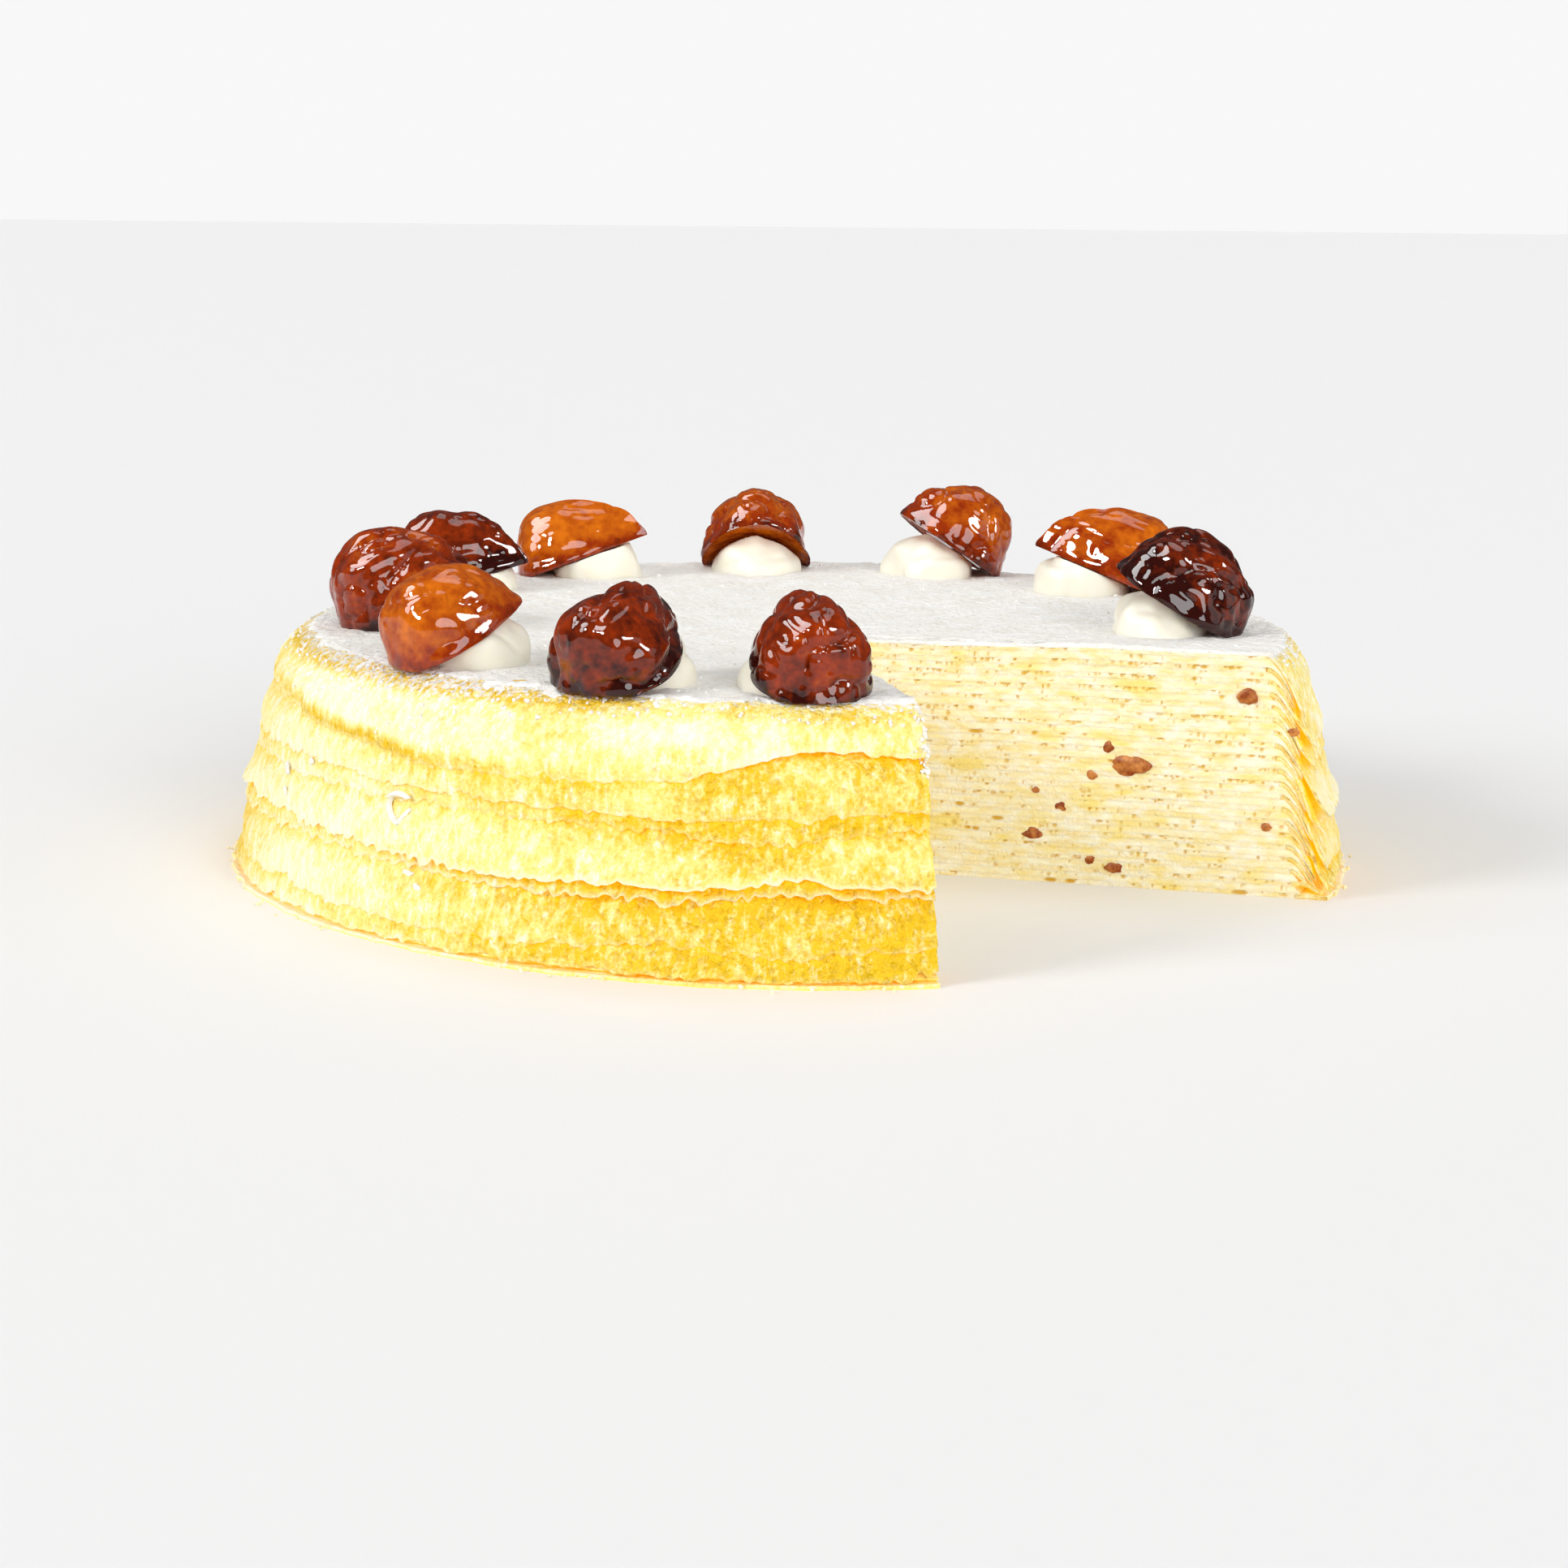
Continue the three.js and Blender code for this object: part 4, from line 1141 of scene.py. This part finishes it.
# %% Chestnut sizes
CHESTNUTS = (  # azimuth, reach, heading, tilt, length, width, height, taper, droop, dollop; tone, wrinkles
    (-7.7, 91.5, 3, 30, 29.5, 23.6, 16, 0.1, 0.5, 16, 0.86, 1.1),
    (32.6, 97.5, -24, 22, 31, 23, 16, 1.4, 0, 18, 0.24, 0.6),
    (60.2, 94.2, -46, 34, 27.5, 23.8, 15.7, 0.3, 0.5, 15.5, 0.32, 0.8),
    (95.1, 97.5, -4, 28, 27.5, 25, 14.8, 0.2, 3, 14.5, 0.3, 1.0),
    (129.2, 96.9, 40, 20.5, 30.5, 24, 14.1, 1.5, 0, 16.5, 0.14, 0.35),
    (151, 99.5, 19, 14, 30.5, 24, 16.5, 0.7, 0, 16.5, 0.72, 1.1),
    (189.9, 91, 10, 28, 28, 24.7, 16.2, 0.3, 0.5, 16.5, 0.5, 1.15),
    (220.7, 98, -23, 27, 28, 24.5, 15, 0.6, 0.5, 16.5, 0.22, 0.6),
    (249, 101, -11, 27, 29, 24.3, 14.6, 0.9, 0.5, 16.5, 0.7, 1.15),
    (274.1, 101, 15, 25, 28.5, 22.1, 14.7, 0.7, 0.5, 16.5, 0.62, 1.05),
)
CHESTNUT_SINK = 1.0  # how deep a nut's blunt end sits in the sugar and the crepe
DOLLOP = (21.0, 21.5, 10.0)  # length, width and height
DOLLOP_GAP = 0.3
DOLLOP_SIDES, DOLLOP_RINGS = 96, 28
NUT_SIDES, NUT_RINGS = 128, 40
FACE_RINGS = (0.97, 0.9, 0.7, 0.45, 0.2)  # shares of the cut face's outline at which its rings lie


def pinched(turn, taper):
    """Outline of the cut face, a circle pinched towards +X: y is the sine, times the sine of half the turn to
    the power of the taper, brought back to the width 1."""
    widest = np.arccos(-taper / (taper + 2))
    breadth = np.sin(widest) * np.sin(widest / 2) ** taper
    return np.cos(turn), np.sin(turn) * np.abs(np.sin(turn / 2)) ** taper / breadth, np.cos(widest)


def dome(sides, rings, taper):
    """A dome of unit size over its outline: x and y of each ring close in on the crown by the cosine of the
    rise, and the height is its sine. Returns x, y and height as (rings, sides) arrays, and the crown."""
    turn = np.linspace(0, 2 * np.pi, sides, endpoint=False)
    rise = np.linspace(0, np.pi / 2, rings + 1)[:-1, None]
    x, y, crown = pinched(turn, taper)
    return crown + (x - crown) * np.cos(rise), y * np.cos(rise), np.sin(rise) + 0 * x, crown


def on_cake(points, azimuth, reach, heading):
    """Moves points from a topping's own frame, whose +X runs inwards from its blunt end, to the cake."""
    azimuth = np.radians(azimuth)
    turn = azimuth + np.pi + np.radians(heading)
    x, y, z = np.moveaxis(points, -1, 0)
    return np.stack([reach * np.cos(azimuth) + x * np.cos(turn) - y * np.sin(turn),
                     reach * np.sin(azimuth) + x * np.sin(turn) + y * np.cos(turn), z + CAKE_HEIGHT], -1)


print(len(CHESTNUTS), "chestnuts")

# %% Build the chestnuts
def wrinkled(points, seed, strength):
    """How far the skin stands out, in mm: broad knobs, and grooves along the nut where a stretched noise is
    near nothing, as one minus its absolute value is sharp there."""
    knobs = 1.1 * noise(points, 7.5, seed) + 0.4 * noise(points, 3.6, seed + 1)
    grooves = (1 - np.abs(noise(points, [16, 6, 6], seed + 2))) ** 6
    fine = (1 - np.abs(noise(points, [7, 2.6, 2.6], seed + 3))) ** 4
    return strength * (knobs - 1.1 * grooves - 0.5 * fine)


def build_chestnut(number, nut):
    """A dome of unit size, stretched, wrinkled and tilted, over a slightly hollow cut face. Its skin moves
    along rays from a point low inside the nut, so that steep and flat parts wrinkle alike."""
    azimuth, reach, heading, tilt, length, width, height, taper, droop, _, tone, wrinkles = nut
    lean = np.radians(tilt)
    x, y, up, crown = dome(NUT_SIDES, NUT_RINGS, taper)
    shell = np.stack([x, y, up], -1)
    top = np.array([[crown, 0.0, 1.0]])
    shares = np.array(FACE_RINGS)[:, None, None]
    base = [crown, 0, 0] + (shell[0] * [1, 1, 0] - [crown, 0, 0]) * shares

    def tilted(along, across, off):
        """From along the nut, across it and off its cut face to a place on the cake, never below its top."""
        up = np.maximum(along * np.sin(lean) + off * np.cos(lean) - CHESTNUT_SINK, 0.05)
        own = np.stack([along * np.cos(lean) - off * np.sin(lean), across, up], -1)
        return on_cake(own, azimuth, reach, heading)

    def skin_at(unit):
        """A point of the unit dome as a point of the wrinkled skin."""
        own = np.stack([(1 + unit[..., 0]) * length / 2, unit[..., 1] * width / 2, unit[..., 2] * height], -1)
        middle = np.array([(1 + crown) * length / 2, 0, 0.2 * height])
        ray = own - middle
        far = np.linalg.norm(ray, axis=-1, keepdims=True)
        rim = 0.5 * hump(unit[..., 2], 0.06, 0.08)
        out = wrinkled(own, 50 + number * 5, wrinkles) * (0.35 + 0.65 * step(unit[..., 2], -0.05, 0.12)) + rim
        own = middle + ray * (1 + out[..., None] / np.maximum(far, 2))
        return tilted(own[..., 0], own[..., 1], own[..., 2] - droop * unit[..., 1] ** 2)

    def face_at(unit):
        """A point of the unit circle as a point of the hollow cut face."""
        own = np.stack([(1 + unit[..., 0]) * length / 2, unit[..., 1] * width / 2, 0 * unit[..., 0]], -1)
        return tilted(own[..., 0], own[..., 1], 0.5 + 0.2 * noise(own, 3, number) - droop * unit[..., 1] ** 2)

    made = Surface()
    # darker low down: the crumbly dark band along the cut rim is the nut's own colour, and the darkening
    # towards the base is painted shade
    rough_rim = hump(up, 0.0, 0.2) * (0.6 + 0.6 * noise(shell * [length / 2, width / 2, height], 2.5, number))
    tone_and_low_shade = tone + 0.15 * (1 - up) ** 2 + 0.4 * rough_rim
    skin = made.add(skin_at(shell), tone=tone_and_low_shade, wrinkle=wrinkles + 1.2 * rough_rim)
    crown_point = made.add(skin_at(top), tone=tone, wrinkle=wrinkles)[0]
    face = made.add(face_at(base), tone=tone, wrinkle=wrinkles)
    foot = made.add(face_at(np.array([[crown, 0.0, 0.0]])), tone=tone, wrinkle=wrinkles)[0]
    made.sheet(closed(skin)[::-1])
    made.fan(crown_point, closed(skin[-1]))
    made.sheet(closed(np.concatenate([skin[:1], face])))
    made.fan(foot, closed(face[-1])[::-1])
    made.piece(f"glazed_chestnut_{number:02d}", candied_chestnut, [f"chestnut_{number:02d}"],
               "candied_chestnut", sharp=75)


for number, nut in enumerate(CHESTNUTS, 1):
    build_chestnut(number, nut)
print("chestnuts:", triangles_in("chestnut"), "triangles")

# %% [markdown]
# ## Whipped cream
# A dollop of whipped cream holds each nut up at its inner end. It was set down with a spoon and squeezed by
# the nut: a smooth low mound that follows the nut's cut face wherever it would stand higher.

# %% Whipped cream
def whipped_material():
    """Whipped cream: milk white with a touch of ivory, smooth, and quite translucent."""
    material, tree, shader, place = new_material("whipped cream", {
        "Roughness": 0.42, "IOR": 1.36, "Subsurface Weight": 0.4, "Subsurface Radius": (1.0, 0.85, 0.6),
        "Subsurface Scale": 2 * MM,
    })
    soft = add(tree, "ShaderNodeTexNoise", {"Vector": place, "Scale": per(3), "Detail": 3.0}).outputs[0]
    colour = add(tree, "ShaderNodeMix", {0: soft, 6: linear("#F8F4E6"), 7: linear("#F4EDD8")},
                 data_type="RGBA").outputs[2]
    tree.links.new(colour, shader.inputs["Base Color"])
    bump = add(tree, "ShaderNodeBump", {"Height": soft, "Distance": 0.3 * MM, "Strength": 0.4})
    tree.links.new(bump.outputs[0], shader.inputs["Normal"])
    return material


whipped_cream = whipped_material()
print(whipped_cream.name)

# %% Build the dollops
def build_dollop(number, nut):
    """A dome with soft folds. Its height is the smaller of its own and that of the nut's cut face over it,
    less a gap."""
    azimuth, reach, heading, tilt, _, nut_width, _, _, droop, middle, _, _ = nut
    length, width, height = DOLLOP
    x, y, up, crown = dome(DOLLOP_SIDES, DOLLOP_RINGS, 0)

    def skin_at(unit):
        """A point of the unit dome as a point of the dollop."""
        inward = middle + unit[..., 0] * length / 2
        hanging = droop * np.abs(unit[..., 1] * width / nut_width) / np.cos(np.radians(tilt))
        ceiling = inward * np.tan(np.radians(tilt)) - hanging - CHESTNUT_SINK - DOLLOP_GAP
        own = np.stack([inward, unit[..., 1] * width / 2, height * unit[..., 2] ** 0.8], -1)
        folds = 1 + 0.15 * noise(own, 8, 80 + number) + 0.05 * noise(own, 3.5, 90 + number)
        folds = folds - 0.07 * (1 - np.abs(noise(own, [14, 9, 9], 100 + number))) ** 6
        own = [middle, 0, 0] + (own - [middle, 0, 0]) * folds[..., None]
        own[..., 2] = np.maximum(np.minimum(own[..., 2], ceiling), 0)
        return on_cake(own, azimuth, reach, heading)

    made = Surface()
    skin = made.add(skin_at(np.stack([x, y, up], -1)))
    crown_point = made.add(skin_at(np.array([[crown, 0.0, 1.0]])))[0]
    foot = made.add(skin_at(np.array([[crown, 0.0, 0.0]])))[0]
    made.sheet(closed(skin)[::-1])
    made.fan(crown_point, closed(skin[-1]))
    made.fan(foot, closed(skin[0])[::-1])
    made.piece(f"whipped_dollop_{number:02d}", whipped_cream, [f"cream_dollop_{number:02d}"], "whipped_cream")


for number, nut in enumerate(CHESTNUTS, 1):
    build_dollop(number, nut)
print("dollops:", triangles_in("dollop"), "triangles")

# %% [markdown]
# ## Bits, crumbs and grains
# Chopped chestnut went into the cream, and the knife laid a few bits bare. Sugar clumps lie on the top and
# along the rim, and cutting left crumbs. All of these are one kind of thing: a small closed lump, a ball
# whose radius is uneven. Many lumps make one mesh, each turned and stretched by numbers from a fixed row.

# %% A bag of lumps
def lumps(places, sizes, rng, sides=7, rings=4, uneven=0.4):
    """Closed lumps at the given places, in one collector: a ball in rings, times its three half sizes, with
    the radius of each point changed by up to the share `uneven`, and a random turn about the vertical."""
    made = Surface()
    turn = np.linspace(0, 2 * np.pi, sides, endpoint=False)
    rise = np.linspace(-np.pi / 2, np.pi / 2, rings + 2)[1:-1, None]
    ball = np.stack([np.cos(rise) * np.cos(turn), np.cos(rise) * np.sin(turn), np.sin(rise) + 0 * turn], -1)
    for place, size in zip(places, sizes):
        own = rng.random(3) * 50
        spin = rng.uniform(0, 2 * np.pi) if len(size) == 3 else size[3]  # a fourth size is a given turn
        cos, sin = np.cos(spin), np.sin(spin)
        about = np.array([[cos, sin, 0], [-sin, cos, 0], [0, 0, 1]])
        rough = noise(ball + own, 0.8) + 0.5 * noise(ball + own, 0.35)
        skin = ball * (1 + uneven * rough[..., None]) * size[:3]
        poles = np.array([[0, 0, -size[2]], [0, 0, size[2]]])
        shade = rng.uniform(0, 1)
        grid = closed(made.add(skin @ about + place, tone=shade))
        low, high = made.add(poles @ about + place, tone=shade)
        made.sheet(grid[::-1])
        made.fan(low, grid[0][::-1])
        made.fan(high, grid[-1])
    return made


def on_far_cut(along, z):
    """A point of the far cut face, a distance from the tip and at a height."""
    along, z = np.broadcast_arrays(along, z)
    return np.stack([TIP[0] + along * np.cos(FAR_CUT), TIP[1] + along * np.sin(FAR_CUT), z], -1)


print("one lump has", len(lumps([[0, 0, 0]], [(1, 1, 1)], np.random.default_rng(1)).points[0]) + 2, "points")

# %% Chestnut bits in the cut face
BITS = (  # distance along the far cut, height, half length, half height, half depth, in mm
    (69.9, 24.6, 3.9, 1.9, 0.9), (50.6, 10.1, 2.1, 1.2, 0.6), (92.6, 39.6, 2.0, 1.5, 0.7),
    (97.2, 14.2, 1.0, 0.8, 0.5), (62.2, 5.2, 1.1, 0.9, 0.5), (67.1, 3.7, 1.7, 1.1, 0.5),
    (62.1, 22.4, 1.1, 1.1, 0.5), (65.3, 28.3, 1.1, 1.2, 0.4), (56.2, 15.6, 1.3, 0.9, 0.3),
    (101.8, 33.0, 1.1, 0.8, 0.5), (51.0, 18.8, 0.8, 0.6, 0.3),
)


def bit_material():
    """Chopped candied chestnut in cream: caramel brown, moist, not glazed, each bit with its own shade."""
    numbers = {"Roughness": 0.5, "Specular IOR Level": 0.2}
    material, tree, shader, place = new_material("chopped candied chestnut", numbers)
    clouds = add(tree, "ShaderNodeTexNoise", {"Vector": place, "Scale": per(1.5), "Detail": 3.0}).outputs[0]
    tone = add(tree, "ShaderNodeAttribute", attribute_name="tone").outputs["Fac"]
    shade = add(tree, "ShaderNodeMath", {0: tone, 1: 0.2, 2: clouds}, operation="MULTIPLY_ADD").outputs[0]
    share = add(tree, "ShaderNodeMapRange", {0: shade, 1: 0.42, 2: 0.76}).outputs[0]
    colour = add(tree, "ShaderNodeMix", {0: share, 6: linear("#8A3C08"), 7: linear("#CC8440")},
                 data_type="RGBA").outputs[2]
    tree.links.new(colour, shader.inputs["Base Color"])
    return material


along, height, half_long, half_high, half_deep = np.array(BITS).T
spin = np.full_like(along, FAR_CUT)
made = lumps(on_far_cut(along, height), np.stack([half_long, half_deep, half_high, spin], -1),
             np.random.default_rng(5), sides=28, rings=17, uneven=0.28)
made.piece("chestnut_bits", bit_material(), warp=settle)
print(len(BITS), "bits:", tally["chestnut_bits"], "triangles")

# %% Sugar clumps
rng = np.random.default_rng(6)
CLUMPS = 900
TOP_RADIUS = 96.0  # of the part of the top where clumps lie
turn = rng.uniform(FAR_CUT, NEAR_CUT, CLUMPS)
down = rng.uniform(0, 1, CLUMPS) ** 1.5 * (dust_reach(turn) + 1.2)
level = CAKE_HEIGHT - down
at_rim = in_column(turn, side_radius(level, turn) - inside_by(down, tightness(turn)) + 0.1, level)
on_top = in_column(turn, TOP_RADIUS, CAKE_HEIGHT)
on_top[:, :2] *= rng.uniform(0.35, 1.0, (CLUMPS, 1)) ** 0.5
on_top[:, 2] += sugar_lift(on_top)
clump_places = np.where((np.arange(CLUMPS) % 3 == 0)[:, None], on_top, at_rim)
clump_sizes = rng.uniform(0.16, 0.5, (CLUMPS, 1)) * rng.uniform(0.7, 1.2, (CLUMPS, 3))
made = lumps(clump_places, clump_sizes, rng, uneven=0.35)
made.piece("sugar_clumps", powdered_sugar, warp=settle)
print(CLUMPS, "clumps:", tally["sugar_clumps"], "triangles")

# %% Crumbs
CRUMBS = 100  # on the table, close to the foot
CORNER_CRUMBS = 60  # of sugar, along the near cut's edge
turn = rng.uniform(FAR_CUT, NEAR_CUT, CRUMBS)
spots = in_column(turn, side_radius(0 * turn, turn) + rng.exponential(0.7, CRUMBS), 0.25)
crumb_sizes = rng.uniform(0.2, 0.5, (CRUMBS, 1)) * rng.uniform(0.6, 1.3, (CRUMBS, 3))
lumps(spots, crumb_sizes, rng).piece("crepe_crumbs", pastry_cream)


def on_side(angle, height, off=0.0):
    """A point on the outermost crepe at a height: of all crepes that reach it, the last one laid."""
    angle, height = np.broadcast_arrays(np.asarray(angle, float), np.asarray(height, float))
    radius = np.zeros(angle.shape)
    for crepe in sorted(FRONT_HEMS):
        depth = top_of(crepe) - height
        hangs = (depth > 0) & (depth < hem_depth(crepe, angle))
        own = side_radius(height, angle) - inside_by(np.maximum(depth, 0), tightness(angle))
        radius = np.where(hangs, own, radius)
    return in_column(angle, radius + off, height)


turn = NEAR_CUT - rng.exponential(0.006, CORNER_CRUMBS)
corner = on_side(turn, rng.uniform(36, 47.8, CORNER_CRUMBS), 0.15)
corner_sizes = rng.uniform(0.18, 0.45, (CORNER_CRUMBS, 1)) * rng.uniform(0.7, 1.2, (CORNER_CRUMBS, 3))
lumps(corner, corner_sizes, rng).piece("corner_crumbs", powdered_sugar, warp=settle)
print("crumbs:", triangles_in("crumbs"), "triangles")

# %% [markdown]
# ## Flakes on the side
# A few specks of cream and sugar stick to the side, and one thin shaving of cream has curled up on it like a
# wood shaving. The shaving is a strip along an open loop, whose middle line stands off the side.

# %% Flakes and a curled shaving
FLAKES = (  # azimuth, height, and half sizes along, off and up the side
    (205.7, 25.0, 1.8, 0.5, 1.5), (232.1, 11.3, 1.0, 0.3, 0.7), (212.0, 28.5, 1.0, 0.35, 0.8),
    (230.5, 13.4, 1.4, 0.3, 0.5), (207.2, 21.6, 0.9, 0.3, 0.9),
)
flakes = np.array(FLAKES)
spots = on_side(angle_from_tip(flakes[:, 0]), flakes[:, 1], 0.1)
flake_sizes = np.column_stack([flakes[:, 2:], angle_from_tip(flakes[:, 0]) + np.pi / 2])
made = lumps(spots, flake_sizes, rng, sides=14, rings=9)
made.piece("cream_flakes", powdered_sugar, warp=settle)

CURL_AZIMUTH, CURL_HEIGHT = 228.6, 25.2  # of the middle of its loop
CURL_ASIDE, CURL_UP = 3.2, 2.6  # half sizes of the loop
STRIP = 0.5  # half the strip's width
way = np.linspace(0.15 * np.pi, 1.9 * np.pi, 60)
across = np.linspace(-1, 1, 7)[:, None]
up = CURL_HEIGHT + (CURL_UP + STRIP * across) * np.sin(way) + 0.5 * np.cos(2 * way)
aside = (CURL_ASIDE + STRIP * across) * np.cos(way) + 0.6 * np.sin(3 * way + 1)
turn = angle_from_tip(CURL_AZIMUTH) + aside / BASE_RADIUS
shape = (1 - across**2) * np.sin((way - way[0]) / (way[-1] - way[0]) * np.pi) ** 0.4
made = Surface()
outer = made.add(on_side(turn, up, 0.25 + 0.8 * shape))
inner = made.add(on_side(turn, up, 0.2 - 0.3 * shape))
made.sheet(outer)
made.sheet(inner[::-1])
made.sheet(np.concatenate([inner[:1], outer[:1]]))
made.sheet(np.concatenate([outer[-1:], inner[-1:]]))
made.sheet(np.concatenate([inner[:, :1], outer[:, :1]], 1))
made.sheet(np.concatenate([outer[:, -1:], inner[:, -1:]], 1))
made.piece("curled_shaving", powdered_sugar, warp=settle)
print(len(FLAKES), "flakes and a shaving:", tally["cream_flakes"] + tally["curled_shaving"], "triangles")

# %% Count the triangles and finish
print("triangles in all:", triangles_in(""))
